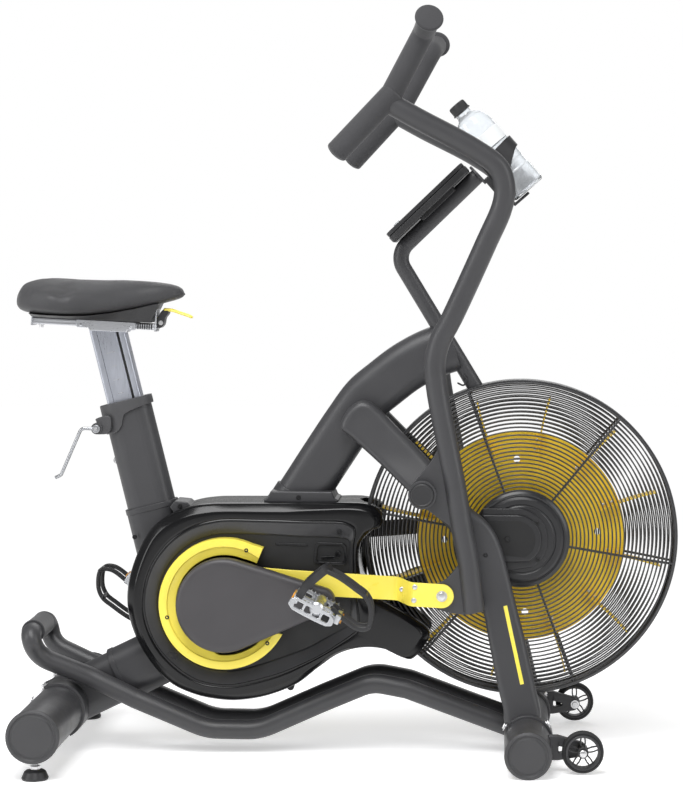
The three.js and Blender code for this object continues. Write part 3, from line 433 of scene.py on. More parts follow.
def tube(p, path, sec, cap=("flat", "flat"), mi=0, up=(0, 1, 0), scale=None, edge=1.2, dome=0.55, twist=0.0):
    """Sweeps a section (depth, across) along a path; ends flat with a small radius, domed, or open."""
    if isinstance(sec, (int, float)):
        sec = circle(sec)
    fr = frames(path, up)
    S = np.array(sec, float)
    n = len(S)
    rmax = np.abs(S).max()
    rings = []

    def ring(c, N, B, k, off, T, shrink=0.0):
        s = S * k
        if shrink:
            L = np.linalg.norm(S, axis=1)[:, None]
            s = S * (1 - shrink / np.maximum(L, 1e-6))
        return [c + N * a + B * b + T * off for a, b in s]

    def capping(kind, f, sgn):
        c, N, B, T = f
        if kind == "dome":
            return [ring(c, N, B, math.cos(t), sgn * rmax * dome * math.sin(t), T) for t in np.linspace(rad(15), rad(86), 7)]
        if kind == "flat" and edge:
            return [ring(c, N, B, 1, sgn * edge * math.sin(t), T, edge * (1 - math.cos(t))) for t in (rad(35), rad(65), rad(90))]
        return []

    a = capping(cap[0], fr[0], -1)
    if cap[0] == "flat" and edge:
        pass
    rings += a[::-1]
    for i, (c, N, B, T) in enumerate(fr):
        rings.append(ring(c, N, B, 1 if scale is None else scale(i / (len(fr) - 1)), 0, T))
    rings += capping(cap[1], fr[-1], 1)
    V = np.array(rings).reshape(-1, 3)
    F = []
    for i in range(len(rings) - 1):
        for j in range(n):
            k = (j + 1) % n
            F.append([i * n + j, i * n + k, (i + 1) * n + k, (i + 1) * n + j])
    if cap[0] in ("flat", "dome"):
        F.append(list(range(n))[::-1])
    if cap[1] in ("flat", "dome"):
        F.append([(len(rings) - 1) * n + j for j in range(n)])
    p.add(V, F, mi)
    return p


def rprof(pts, n=4):
    """Rounds the corners of a lathe profile or an outline: (a, b[, radius])."""
    return [tuple(q) for q in fillet(pts, n)]


def rev(p, prof, o, d=(0, 1, 0), seg=64, mi=0, a0=0.0, a1=None):
    """Revolves (radius, height) about the axis through o along d."""
    o, d = np.asarray(o, float), unit(d)
    u = unit(np.cross(d, (0, 0, 1)) if abs(d[2]) < 0.9 else np.cross(d, (1, 0, 0)))
    w = np.cross(d, u)
    full = a1 is None
    angs = [a0 + 2 * math.pi * i / seg for i in range(seg)] if full else list(np.linspace(a0, a1, seg))
    closed = np.allclose(prof[0], prof[-1])
    pr = list(prof[:-1]) if closed else list(prof)
    V, idx = [], []
    for r, h in pr:
        if r < 1e-6:
            idx.append([len(V)] * len(angs))
            V.append(o + d * h)
        else:
            idx.append(list(range(len(V), len(V) + len(angs))))
            V += [o + d * h + (u * math.cos(a) + w * math.sin(a)) * r for a in angs]
    F = []
    m = len(pr)
    for i in range(m if closed else m - 1):
        A, B = idx[i], idx[(i + 1) % m]
        for j in range(len(angs) if full else len(angs) - 1):
            k = (j + 1) % len(angs)
            f = [A[j], A[k], B[k], B[j]]
            g = []
            for q in f:
                if q not in g:
                    g.append(q)
            if len(g) > 2:
                F.append(g)
    if not full and closed:
        F.append([a[0] for a in idx])
        F.append([a[-1] for a in idx][::-1])
    p.add(V, F, mi)
    return p


def cyl(p, r, y0, y1, c, seg=40, mi=0, edge=0.8, bore=0.0):
    """A cylinder along Y with rounded edges, and a bore if asked."""
    y0, y1 = min(y0, y1), max(y0, y1)
    e = min(edge, (y1 - y0) / 2.01, r * 0.45)
    if bore:
        prof = rprof([(bore, y0), (r, y0, e), (r, y1, e), (bore, y1), (bore, y0)], 3)
    else:
        prof = rprof([(0, y0), (r, y0, e), (r, y1, e), (0, y1)], 3)
    return rev(p, prof, (c[0], 0, c[1]), (0, 1, 0), seg, mi)


def plate(p, outline, y0, y1, bev=1.0, holes=(), mi=0, shear=None, res=3):
    """A flat piece from an outline in X and Z, with rounded edges and holes."""
    y0, y1 = min(y0, y1), max(y0, y1)
    bev = min(bev, (y1 - y0) / 2 * 0.98)
    cu = bpy.data.curves.new("tmp", "CURVE")
    cu.dimensions = "2D"
    cu.fill_mode = "BOTH"
    cu.extrude = (y1 - y0) / 2 - bev
    cu.bevel_depth = bev
    cu.bevel_resolution = res
    cu.offset = -bev
    for k, ring in enumerate([outline] + list(holes)):
        s = cu.splines.new("POLY")
        s.points.add(len(ring) - 1)
        for q, (x, z) in zip(s.points, ring):
            q.co = (x, z, 0, 1)
        s.use_cyclic_u = True
    ob = bpy.data.objects.new("tmp", cu)
    scene.collection.objects.link(ob)
    dg = bpy.context.evaluated_depsgraph_get()
    me = ob.evaluated_get(dg).to_mesh()
    V = np.array([(q.co.x, q.co.z, q.co.y) for q in me.vertices], float)
    V[:, 1] += (y0 + y1) / 2
    if shear:
        V[:, 1] += [shear(x, z) for x, z in V[:, [0, 2]]]
    F = [list(q.vertices) for q in me.polygons]
    ob.evaluated_get(dg).to_mesh_clear()
    bpy.data.objects.remove(ob)
    bpy.data.curves.remove(cu)
    p.add(V, F, mi)
    return p


def box(p, lo, hi, bev=1.0, mi=0, place=None):
    """A block with rounded edges; place maps its points."""
    s = p.mark()
    x0, x1, z0, z1 = lo[0], hi[0], lo[2], hi[2]
    e = min(bev, (x1 - x0) * 0.3, (z1 - z0) * 0.3)
    o = rprof([((x0 + x1) / 2, z0), (x1, z0, e), (x1, z1, e), (x0, z1, e), (x0, z0, e), ((x0 + x1) / 2, z0)], 3)[:-1]
    plate(p, o, lo[1], hi[1], min(bev, (hi[1] - lo[1]) * 0.3))
    if mi:
        for k in range(len(p.m)):
            pass
    if place:
        p.map(place, s)
    return p


def setmat(p, start_face, mi):
    for k in range(start_face, len(p.m)):
        p.m[k] = mi
    return p


def smooth2(pts, n=5, closed=True):
    return [tuple(q) for q in catmull(pts, n, closed)]


def arc(c, r, a0, a1, n=24):
    return [(c[0] + r * math.cos(rad(a)), c[1] + r * math.sin(rad(a))) for a in np.linspace(a0, a1, n)]


def loft(p, rings, mi=0, close0=True, close1=True):
    """Rings of equal count joined into one skin."""
    n = len(rings[0])
    V = np.array(rings, float).reshape(-1, 3)
    F = []
    for i in range(len(rings) - 1):
        for j in range(n):
            k = (j + 1) % n
            F.append([i * n + j, i * n + k, (i + 1) * n + k, (i + 1) * n + j])
    if close0:
        F.append(list(range(n))[::-1])
    if close1:
        F.append([(len(rings) - 1) * n + j for j in range(n)])
    p.add(V, F, mi)
    return p


def socket_screw(p, o, d, r=4.0, h=3.0, mi=0, hexr=None, seg=28):
    """Round-head screw with a hexagon socket."""
    o, d = np.asarray(o, float), unit(d)
    hexr = hexr or r * 0.5
    rev(p, rprof([(0, -1.0), (r, -1.0), (r, h, min(h * 0.6, r * 0.45)), (hexr * 1.05, h), (hexr * 1.05, h)], 4)[:-1], o, d, seg, mi)
    u = unit(np.cross(d, (0, 0, 1)) if abs(d[2]) < 0.9 else np.cross(d, (1, 0, 0)))
    w = np.cross(d, u)
    n = seg
    outer = [o + d * h + (u * math.cos(t) + w * math.sin(t)) * hexr * 1.05 for t in np.linspace(0, 2 * math.pi, n, endpoint=False)]

    def hx(t, rr):
        s = (t % (math.pi / 3)) - math.pi / 6
        return rr * math.cos(math.pi / 6) / math.cos(s)
    ring1 = [o + d * (h - 0.15) + (u * math.cos(t) + w * math.sin(t)) * hx(t, hexr * 0.95) for t in np.linspace(0, 2 * math.pi, n, endpoint=False)]
    ring2 = [o + d * (h * 0.25) + (u * math.cos(t) + w * math.sin(t)) * hx(t, hexr * 0.93) for t in np.linspace(0, 2 * math.pi, n, endpoint=False)]
    loft(p, [outer, ring1, ring2], mi, close0=False, close1=True)
    return p


def rivet(p, o, d, r, h, mi=0):
    rev(p, [(r * math.cos(t), h * math.sin(t)) for t in np.linspace(0, math.pi / 2 - 0.02, 8)][::-1][:0] + [(0, -0.5), (r, -0.5), (r, 0.2)] + [(r * math.cos(t), 0.2 + h * math.sin(t)) for t in np.linspace(0.15, math.pi / 2, 8)], o, d, 26, mi)
    return p


def hex_bolt(p, o, d, r=6.0, h=4.5, mi=0, washer=True):
    o, d = np.asarray(o, float), unit(d)
    if washer:
        rev(p, rprof([(0, 0), (r * 1.5, 0, 0.3), (r * 1.5, 1.4, 0.4), (0, 1.4)], 2), o, d, 32, mi)
    u = unit(np.cross(d, (0, 0, 1)) if abs(d[2]) < 0.9 else np.cross(d, (1, 0, 0)))
    w = np.cross(d, u)
    hx = lambda k, hh: [o + d * hh + (u * math.cos(a) + w * math.sin(a)) * r * k for a in [math.pi / 3 * i for i in range(6)]]
    loft(p, [hx(1, 1.3), hx(1, h), hx(0.88, h + 0.8)], mi)
    return p


# ------------------------------------------------------------------ seat mast, collar, post
TILT = 14.0
AX = np.array([-math.sin(rad(TILT)), 0.0, math.cos(rad(TILT))])       # up the mast
DX = np.array([math.cos(rad(TILT)), 0.0, math.sin(rad(TILT))])        # across it, forwards


def mast_at(z):
    return np.array([-398 - 0.2493 * (z - 555.6), 0.0, z])


def mast_pt(z, a, b, h=0.0):
    return mast_at(z) + DX * a + np.array([0, b, 0]) + AX * h


def oval_groove(w, d, n=18, groove=0.0, at=22.0, width=3.0):
    """Flat oval with a shallow groove down each flat side, towards the front."""
    r, a = w / 2, d / 2 - w / 2
    top = [(a + r * math.cos(t), r * math.sin(t)) for t in np.linspace(-math.pi / 2, math.pi / 2, n)]
    xs = np.linspace(a, -a, 26)
    f = lambda x: groove * math.exp(-((x - at) / width) ** 2)
    side = [(x, r - f(x)) for x in xs[1:-1]]
    bot = [(-a + r * math.cos(t), r * math.sin(t)) for t in np.linspace(math.pi / 2, 3 * math.pi / 2, n)]
    return top + side + bot + [(x, -y) for x, y in side[::-1]]


def up_mast(p, sec, z0, z1, mi=0, cap=("flat", "flat"), edge=1.0, scale=None, n=2):
    path = [mast_at(z) for z in np.linspace(z0, z1, n)]
    # depth runs along DX
    return tube(p, path, [(a, b) for a, b in sec], cap, mi, up=(0, 1, 0), edge=edge, scale=scale)


p = Part()
sec = [(a * 1.0, b) for a, b in oval_groove(56, 86, 18, 1.3, 22, 3.2)]
sgn = 1.0 if float(frames([mast_at(300), mast_at(600)])[0][1] @ DX) > 0 else -1.0
FLIP = lambda s: [(sgn * a, b) for a, b in s]
up_mast(p, FLIP(sec), 262, 606, n=8)
emit(p, "mast_tube", "root", "frame", "seat_mast")

# collar: moulded cap whose lower edge sweeps in an S from deep at the back to shallow in front
p = Part()
cs = oval_groove(64.5, 94.5, 20, 1.2, 22, 3.2)
low = lambda a: 622 - np.interp(a, [-48, -28, -18, -12, -8, -4, 6, 24, 40, 48], [55, 55, 51, 44, 35, 28, 24.5, 21.5, 20, 19.5])
rings = []
ztop = 617.5
cin = oval_groove(57.6, 87.6, 20, 0.6, 22, 3.2)
for k, (f, grow) in enumerate([(0, -2.6), (0, -0.9), (0.02, -0.25), (0.05, 0), (0.35, 0.25), (0.7, 0.2), (0.955, 0), (0.985, -0.5), (1.0, -1.6), (1.0, -4.0), (1.0, -12)]):
    ring = []
    for (a, b), (ai, bi) in zip(cs, cin):
        h0, h1 = low(a), ztop
        L = math.hypot(a, b)
        s = 1 + grow / L
        ring.append(mast_at(0 + h0 + (h1 - h0) * f) + DX * a * s + np.array([0, b * s, 0]))
    rings.append(ring)
loft(p, rings)
# clamp ear: two cheeks round the bolt
EAR = (-458.0, 569.0)
cyl(p, 10.2, -40.5, -19, EAR, 40)
rev(p, rprof([(7.4, -41.2), (9.6, -41.2, 0.5), (9.6, -40.2), (7.4, -40.2), (7.4, -41.2)], 2), (EAR[0], 0, EAR[1]), (0, 1, 0), 36)
plate(p, smooth2([(-458, 577.5), (-461, 585), (-452, 589), (-440, 592), (-434, 588), (-436, 562), (-450, 558.5), (-462, 560.5)], 4), -38, -20, 2.4)
emit(p, "mast_collar_shell", "root", "black_plastic", "mast_collar")
M["collar"] = M["satin_shell"]
bpy.data.objects["mast_collar_shell"].data.materials[0] = paint("collar_satin", (0.05, 0.05, 0.053), 0.5, 0.0, 0.1, 1900, 0.00004, wear=(0.14, 0.14, 0.145))
p = Part()
hex_bolt(p, (EAR[0], -49.0, EAR[1]), (0, -1, 0), 3.6, 3.0, washer=False)
emit(p, "clamp_ear_bolt", "post_lever", "bolt")
p = Part()
hex_bolt(p, mast_pt(520, -42.6, 0), -DX, 4.0, 3.4)
emit(p, "mast_stop_screw", "root", "bolt")

# clamp lever: bent round bar with a flattened eye and a hooked tip
p = Part()
lp = dense(fillet([(-461, -46.2, 569.2), (-484, -46.2, 570, 9), (-519.5, -46.2, 488, 5), (-529, -46.2, 483.5)], 8), 5)
tube(p, lp, circle(3.0, 20), ("flat", "dome"))
cyl(p, 7.2, -49.2, -42.6, EAR, 36, edge=1.0)
emit(p, "clamp_lever_rod", "post_lever", "chrome", "post_lever")

# post: extruded profile, slot near its front edge, recessed flat with height ticks
def post_sec():
    s = []
    a, b, r = 31.0, 17.0, 5.0
    half = [(a, 0.0), (a, 6.0), (a, b - r)] + [(a - r + r * math.cos(t), b - r + r * math.sin(t)) for t in np.linspace(0.3, math.pi / 2, 6)]
    half += [(20.5, b), (19.6, b - 0.4), (19.3, b - 3.2), (15.2, b - 3.2), (14.9, b - 0.4), (14.2, b), (12.6, b), (12.0, b - 0.8), (-17.5, b - 0.8), (-18.1, b), (-21.0, b)]
    half += [(-a + r + r * math.cos(t), b - r + r * math.sin(t)) for t in np.linspace(math.pi / 2, math.pi - 0.3, 6)]
    half += [(-a, b - r), (-a, 6.0)]
    s = half + [(-a, 0.0)] + [(x, -y) for x, y in half[1:][::-1]]
    return s


p = Part()
up_mast(p, FLIP(post_sec()), 352, 747.0, cap=("flat", "flat"), edge=0.0, n=3)
PLANE = rad(3.2)


def meet_rail(q):
    """The upper end is cut along the underside of the rail."""
    if q[2] < 725:
        return q
    lz = (q[0] + 444) * math.sin(PLANE) + (q[2] - 752) * math.cos(PLANE)
    return np.array(q) + AX * ((-6.7 - lz) / (AX[0] * math.sin(PLANE) + AX[2] * math.cos(PLANE)))


p.map(meet_rail)
emit(p, "post_profile", "seat_post", "post", "seat_post", angle=28)
p = Part()
for side in (-1, 1):
    for k in range(9):
        z = 511 + 24 * k
        w = 7.5 if k % 2 == 0 else 4.5
        c = mast_pt(z, -2.5, side * 16.23)
        q = [c + DX * x + AX * h + np.array([0, side * y, 0]) for x, h, y in ((-w, -0.55, 0), (w, -0.55, 0), (w, 0.55, 0), (-w, 0.55, 0), (-w, -0.55, 0.05), (w, -0.55, 0.05), (w, 0.55, 0.05), (-w, 0.55, 0.05))]
        p.add(q, [[0, 1, 5, 4], [1, 2, 6, 5], [2, 3, 7, 6], [3, 0, 4, 7], [4, 5, 6, 7], [3, 2, 1, 0]])
emit(p, "post_height_ticks", "seat_post", "cast_silver", weighted=False)

# painted shade: thin near-black strips laid along the floor of the post's slot and along its edge steps and rounded
# corners
p = Part()
for side in (-1, 1):
    for a0, a1, yv in ((15.1, 19.4, 14.0), (-29.6, -28.5, 15.2), (28.4, 29.6, 15.2), (-18.6, -17.9, 16.8)):
        q = [mast_pt(z, a, side * (yv + dy)) for z in (354, 738) for a, dy in ((a0, 0), (a1, 0), (a1, 0.35 if a0 < 15 or a0 > 20 else 0.2), (a0, 0.35 if a0 < 15 or a0 > 20 else 0.2))]
        p.add(q, [[0, 1, 2, 3], [7, 6, 5, 4], [0, 4, 5, 1], [1, 5, 6, 2], [2, 6, 7, 3], [3, 7, 4, 0]])
emit(p, "post_groove_painted_shade", "seat_post", "dark", weighted=False)

# saddle coordinates: noses down slightly about a point over the post
ST = rad(3.2)
SL = lambda q: np.array([-444 + q[0] * math.cos(ST) + q[2] * math.sin(ST), q[1], 752 - q[0] * math.sin(ST) + q[2] * math.cos(ST)])
p = Part()
s0 = p.mark()
car = [(-52.5, 6.6), (-52.5, -5.4), (-50, -7.4), (-31, -7.4), (-29, -11.8), (36, -11.8), (38, -7.4), (50, -7.4), (52.5, -5.4), (52.5, 6.6)]
plate(p, [(x, z) for x, z in car], -28, -20.6, 0.9)
plate(p, [(x, z) for x, z in car], 20.6, 28, 0.9)
plate(p, [(-29, -11.8), (-29, -6.3), (36, -6.3), (36, -11.8)], -27.6, 27.6, 0.8)
p.map(SL, s0)
s1 = p.mark()
for yy in (-1, 1):
    for xx in (-44, 44):
        q = SL((xx, yy * 28, -3))
        rivet(p, q, (0, yy, 0), 2.6, 1.2)
emit(p, "carriage", "seat_post", "aluminium")
p = Part()
s0 = p.mark()
rp = [(-132.2, -5.6), (-132.2, 5.4), (88, 5.4), (88, -5.6)]
plate(p, rp, -19.8, 19.8, 1.2)
plate(p, [(-126, 1.2), (-126, 3.4), (89, 3.4), (89, 1.2)], -20.3, 20.3, 0.4)
plate(p, [(-126, -3.8), (-126, -1.9), (89, -1.9), (89, -3.8)], -20.3, 20.3, 0.4)
# end plates
plate(p, [(-133.5, -8.5), (-133.5, 20.5), (-131.0, 20.5), (-131.0, -8.5)], -24, 24, 0.8)
plate(p, [(84.6, -8), (84.6, 36), (88, 36), (88, -8)], -20, 20, 0.8)
p.map(SL, s0)
emit(p, "seat_rail_extrusion", "saddle", "aluminium", "saddle_rail")
p = Part()
s0 = p.mark()
for k in range(7):
    plate(p, [(54.5 + 4 * k, -4.6), (54.5 + 4 * k, 4.6), (56.9 + 4 * k, 4.6), (56.9 + 4 * k, -4.6)], -20.45, 20.45, 0.5)
plate(p, smooth2([(88.5, 0), (88.5, 14), (92, 24), (97, 31), (106, 31), (107, 25), (102, 17), (100, 5), (95, -1)], 4), -14, 14, 1.6)
p.map(SL, s0)
emit(p, "rail_lock_block", "saddle", "black_plastic")
p = Part()
hex_bolt(p, SL((-119, 0, -6)), (-math.sin(ST), 0, -math.cos(ST)), 4.0, 5.6)
hex_bolt(p, SL((95, -13.6, 8)), (0, -1, 0), 2.8, 3.0)
hex_bolt(p, SL((95, 13.6, 8)), (0, 1, 0), 2.8, 3.0)
emit(p, "saddle_bolts", "saddle", "bolt")
# release lever: pressed strip, kinked down, with a rolled lip
p = Part()
lev = dense([tuple(q) for q in catmull([SL((101, -8, 31.6)), SL((112, -8, 31.4)), SL((126, -8, 27.8)), SL((144, -8, 22.8)), SL((147, -8, 21.6))], 5)], 3)
tube(p, lev, [(a * 1.05, b * 2.5) for a, b in circle(2.9, 20)], ("dome", "dome"))
emit(p, "release_lever", "saddle_lever", "yellow_paint", "saddle_lever")

# ------------------------------------------------------------------ saddle
PLAN = [(-602, 1), (-599, 50), (-588, 88), (-560, 114), (-528, 124), (-492, 117), (-455, 96), (-420, 70), (-384, 50), (-345, 38), (-322, 28), (-310, 15), (-306.5, 1)]
PX = [q[0] for q in PLAN]
half_w = lambda x: float(np.interp(x, PX, [q[1] for q in PLAN]))
top_z = lambda x: float(np.interp(x, [-602, -598, -592, -584, -574, -545, -500, -455, -400, -360, -335, -319, -310, -305.5], [797, 815, 825, 830, 831, 829.6, 826.2, 826.6, 829.4, 830, 828.2, 824.5, 818.5, 809]))
bot_z = lambda x: float(np.interp(x, [-602, -592, -578, -545, -505, -470, -430, -390, -350, -325, -310, -305.5], [785, 776, 771.5, 768.5, 766.5, 766.5, 770.5, 777.5, 786.5, 793, 798, 803]))


def saddle_mesh(grow=0.0, nx=44, nr=40):
    """Rings along the length; each is a crowned top, a full shoulder and a tucked underside."""
    P2 = Part()
    xs = -453.5 + 148.0 * np.sin(np.linspace(-math.pi / 2 + 0.035, math.pi / 2 - 0.035, nx))
    rings = []
    for x in xs:
        w, zt, zb = half_w(x) + grow, top_z(x) + grow, bot_z(x) - grow * 0.3
        w = max(w, 3.0)
        zm = zb + (zt - zb) * 0.40
        wide = min(1.0, max(0.0, (w - 40) / 80))
        ring = []
        for j in range(nr):
            t = 2 * math.pi * j / nr
            c, s = math.cos(t), math.sin(t)
            y = w * math.copysign(abs(c) ** (0.78 if s > 0 else 0.62), c)
            if s >= 0:
                z = zm + (zt - zm) * s ** 0.62
                u = min(1.0, abs(y) / max(w, 1))
                z += wide * 3.5 * math.sin(math.pi * min(1, u * 1.25)) - wide * 4.0 * math.exp(-(y / 16.0) ** 2) * (1 if x < -440 else 0.5)
            else:
                z = zm + (zm - zb) * -(abs(s) ** 0.55)
                y *= 1 - 0.10 * abs(s) ** 2
            ring.append((x, y, z))
        rings.append(ring)
    loft(P2, rings)
    return P2


def inflate(name, part, voxel=0.005, pressure=4.0, frames_n=20, cap=0.007):
    """Cloth simulation of a padded cover: remeshed copy, air pressure, capped swelling, applied."""
    me = bpy.data.meshes.new(name)
    me.from_pydata(((np.vstack(part.v) + [SX, 0, 0]) * 0.001).tolist(), [], part.f)
    o = bpy.data.objects.new(name, me)
    scene.collection.objects.link(o)
    r = o.modifiers.new("r", "REMESH")
    r.mode, r.voxel_size = "VOXEL", voxel
    dg = bpy.context.evaluated_depsgraph_get()
    flat = bpy.data.meshes.new_from_object(o.evaluated_get(dg))
    o.modifiers.clear()
    o.data = flat
    start = np.array([v.co for v in flat.vertices])
    # the underside is stapled to the pan, so its points are pinned
    g = o.vertex_groups.new(name="pin")
    g.add([i for i, v in enumerate(flat.vertices) if v.normal.z < -0.55], 1.0, "REPLACE")
    c = o.modifiers.new("c", "CLOTH")
    c.settings.quality = 6
    c.settings.use_pressure = True
    c.settings.uniform_pressure_force = pressure
    c.settings.tension_stiffness = 14
    c.settings.compression_stiffness = 14
    c.settings.bending_stiffness = 1.2
    c.settings.vertex_group_mass = "pin"
    c.settings.effector_weights.gravity = 0.0
    c.point_cache.frame_start, c.point_cache.frame_end = 1, frames_n
    scene.frame_start, scene.frame_end = 1, frames_n
    for f in range(1, frames_n + 1):
        scene.frame_set(f)
    dg = bpy.context.evaluated_depsgraph_get()
    ev = o.evaluated_get(dg)
    got = np.array([v.co for v in ev.data.vertices])
    d = got - start
    L = np.linalg.norm(d, axis=1)[:, None]
    got = start + d * np.minimum(1.0, cap / np.maximum(L, 1e-9))
    o.modifiers.clear()
    flat.vertices.foreach_set("co", got.astype(np.float32).ravel())
    flat.update()
    scene.frame_set(1)
    bm = bmesh.new()
    bm.from_mesh(flat)
    for _ in range(3):
        bmesh.ops.smooth_vert(bm, verts=bm.verts, factor=0.5, use_axis_x=True, use_axis_y=True, use_axis_z=True)
    bm.to_mesh(flat)
    bm.free()
    flat.shade_smooth()
    return o


def seat_finish(o):
    """Keeps the cover off the rail and pan and draws the tucked lower edge."""
    me = o.data
    for v in me.vertices:
        x, y, z = v.co.x * 1000 - SX, v.co.y * 1000, v.co.z * 1000
        zb = bot_z(min(max(x, -600), -306))
        if z < zb - 1.0:
            z = zb - 1.0 + (z - zb + 1.0) * 0.15
        v.co.z = z * 0.001
    me.update()


cush = inflate("saddle_cover", saddle_mesh(-4.5))
seat_finish(cush)
cush.data.materials.clear()
cush.data.materials.append(M["vinyl"])
sd = cush.modifiers.new("subd", "SUBSURF")
sd.levels = sd.render_levels = 1
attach(cush, "saddle")
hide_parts("saddle_cushion")

# the moulded pan below the cover
p = Part()
rings = []
for f, k in ((0.0, 0.70), (0.0, 0.735), (0.25, 0.75), (0.9, 0.82), (1.0, 0.83), (1.0, 0.6)):
    ring = []
    xs1 = np.linspace(-584, -350, 40)
    side = [(x, -max(6.0, half_w(x) * k)) for x in xs1]
    outl = side + [(x, -y) for x, y in side[::-1]]
    for x, y in outl:
        floor = 752 - (x + 444) * math.sin(ST) + 8.6
        xx = -470 + (x + 470) * (k / 0.83)
        zt = max(floor + 1.5, bot_z(x) + 2.5)
        ring.append((max(xx, -569), y, floor + (zt - floor) * f))
    rings.append(ring)
loft(p, rings)
emit(p, "saddle_pan_shell", "saddle", "black_plastic", "saddle_pan", angle=40)

# ------------------------------------------------------------------ stabilisers, caps, feet
p = Part()
prof = [(41.0, -281), (43.8, -281), (43.8, 281), (41.0, 281)]
rev(p, rprof([(0, -279.5), (43.8, -279.5), (43.8, 279.5), (0, 279.5)], 2), (REAR[0], 0, REAR[1]), (0, 1, 0), 88)
emit(p, "rear_cross_tube", "root", "frame", "rear_stabiliser")
p = Part()
rev(p, rprof([(0, -264.5), (40, -264.5), (40, 264.5), (0, 264.5)], 2), (FRONT[0], 0, FRONT[1]), (0, 1, 0), 88)
for s in (-1, 1):
    hole = [tuple(q) for q in fillet([(352, 44), (352, 33, 2), (379, 37.6, 3), (352, 44.2, 2), (352, 40)], 4)]
    plate(p, fillet([(334, 40), (334, 20, 3), (351, 20, 4), (393, 26.5, 11), (405, 38, 10), (393, 49.8, 11), (351, 62, 4), (334, 62, 3), (334, 40)], 6)[:-1], s * 192, s * 206, 2.0, holes=[hole[:-1]])
    cyl(p, 5.0, s * 206, s * 238.4, WHEEL, 28)
emit(p, "front_cross_tube", "root", "frame", "front_stabiliser")


def end_cap(R, half, c):
    q = Part()
    rev(q, rprof([(0, half - 9), (R - 2.5, half - 9), (R - 2.5, half - 6.2), (R + 0.2, half - 6.0, 0.6), (R + 0.2, half - 2.6, 2.6), (R - 4.2, half - 0.2, 1.2), (R - 5.6, half - 0.6, 0.8), (R - 7.2, half - 2.6, 0.8), (R - 9.5, half - 2.8, 0.8), (R - 12, half - 1.6, 2.0), (0, half - 1.2)], 4), (c[0], 0, c[1]), (0, 1, 0), 96)
    return q


M["cap"] = paint("cap_moulding", (0.040, 0.040, 0.0425), 0.46, 0.0, 0.10, 1500, 0.00004, wear=(0.10, 0.10, 0.105))
for nm, R, half, c in (("rear", 45, 285, REAR), ("front", 40, 270, FRONT)):
    q = end_cap(R, half, c)
    emit(q.copy(), nm + "_cap_moulding_left", "root", "cap", nm + "_cap_left")
    emit(q.mirror(), nm + "_cap_moulding_right", "root", "cap", nm + "_cap_right")

p = Part()
o = (REAR[0], -258, 0)
rev(p, rprof([(0, 0), (21.4, 0, 1.2), (22.6, 3.6, 1.4), (18.2, 13.5, 2), (15.0, 16.0, 1.6), (9.4, 17.2, 0.6), (0, 17.2)], 4), o, (0, 0, 1), 64)
emit(p.copy(), "foot_pad_right", "foot_right", "black_plastic", "levelling_foot_right")
emit(p.mirror(), "foot_pad_left", "foot_left", "black_plastic", "levelling_foot_left")
p = Part()
u6 = lambda k, h: [(o[0] + k * math.cos(math.pi / 3 * i), o[1] + k * math.sin(math.pi / 3 * i), h) for i in range(6)]
loft(p, [u6(8.2, 17.0), u6(9.0, 17.6), u6(9.0, 22.6), u6(8.2, 23.2)])
thread = []
for k in range(16):
    h = 23.0 + k * 0.75
    thread += [(4.4, h), (5.0, h + 0.375)]
rev(p, [(0, 17)] + [(4.4, 17)] + thread + [(4.4, 35.4), (0, 35.4)], o, (0, 0, 1), 30)
emit(p.copy(), "foot_bolt_right", "foot_right", "bolt", weighted=False)
emit(p.mirror(), "foot_bolt_left", "foot_left", "bolt", weighted=False)

# transport wheels: thin tyre, rim, five double spokes, hub with a bolt
def wheel():
    q = Part()
    c = (WHEEL[0], WHEEL[1])
    o = (c[0], -222, c[1])
    rev(q, rprof([(29.4, -6.6), (33.0, -7.0, 1.6), (35.4, -4.6, 1.6), (35.4, 4.6, 1.6), (33.0, 7.0, 1.6), (29.4, 6.6), (29.4, -6.6)], 3), o, (0, 1, 0), 72, 1)
    rev(q, rprof([(25.4, -9.6), (29.6, -10.6, 1.2), (29.6, 10.6, 1.2), (25.4, 9.6, 0.6), (26.2, 0), (25.4, -9.6)], 3), o, (0, 1, 0), 72, 0)
    rev(q, rprof([(5.1, -10.4), (9.4, -10.4, 1), (9.4, 10.4, 1), (5.1, 10.4), (5.1, -10.4)], 3), o, (0, 1, 0), 48, 0)
    for i in range(5):
        for s in (-1, 1):
            a = rad(90 + 72 * i)
            a1, a2 = a + s * rad(20), a + s * rad(6)
            path = [np.array([c[0] + r * math.cos(t), -222 + y, c[1] + r * math.sin(t)]) for r, t, y in ((8.2, a1, -1), (17, a1 * 0.55 + a2 * 0.45, -4), (27.2, a2, -6))]
            tube(q, catmull(path, 4), [(x * 1.3, y * 2.4) for x, y in circle(1, 12)], ("flat", "flat"), 0, edge=0)
    return q


q = wheel()
emit(q.copy(), "wheel_right", "wheel_right", ["wheel_plastic", "tyre"], "transport_wheel_right")
emit(q.mirror(), "wheel_left", "wheel_left", ["wheel_plastic", "tyre"], "transport_wheel_left")
p = Part()
for s in (-1, 1):
    rivet(p, (WHEEL[0], s * 238.2, WHEEL[1]), (0, s, 0), 6.6, 3.0)
    hex_bolt(p, (WHEEL[0], s * 191.6, WHEEL[1]), (0, -s, 0), 5.4, 3.6)
emit(p, "wheel_axle_bolts", "root", "bolt")

# ------------------------------------------------------------------ main frame tubes
arch = [(-208, 300), (-150, 374), (-95, 456), (-58.6, 512.2), (-13.9, 579.4), (16.5, 620.5), (45.3, 644.8), (86.8, 676.2), (129, 699.1), (170, 713.0)]
ap = catmull([(x, 0, z) for x, z in arch], 8)
p = Part()
tube(p, ap, oval(56, 90, 16), ("flat", "flat"), edge=1.5)
emit(p, "arch_tube", "root", "frame", "main_arch")
p = Part()
bp = dense([(-538, 0, 73.2), (-205, 0, 231.5)], 40)
tube(p, bp, oval(56, 92, 16), ("flat", "flat"), edge=1.2)
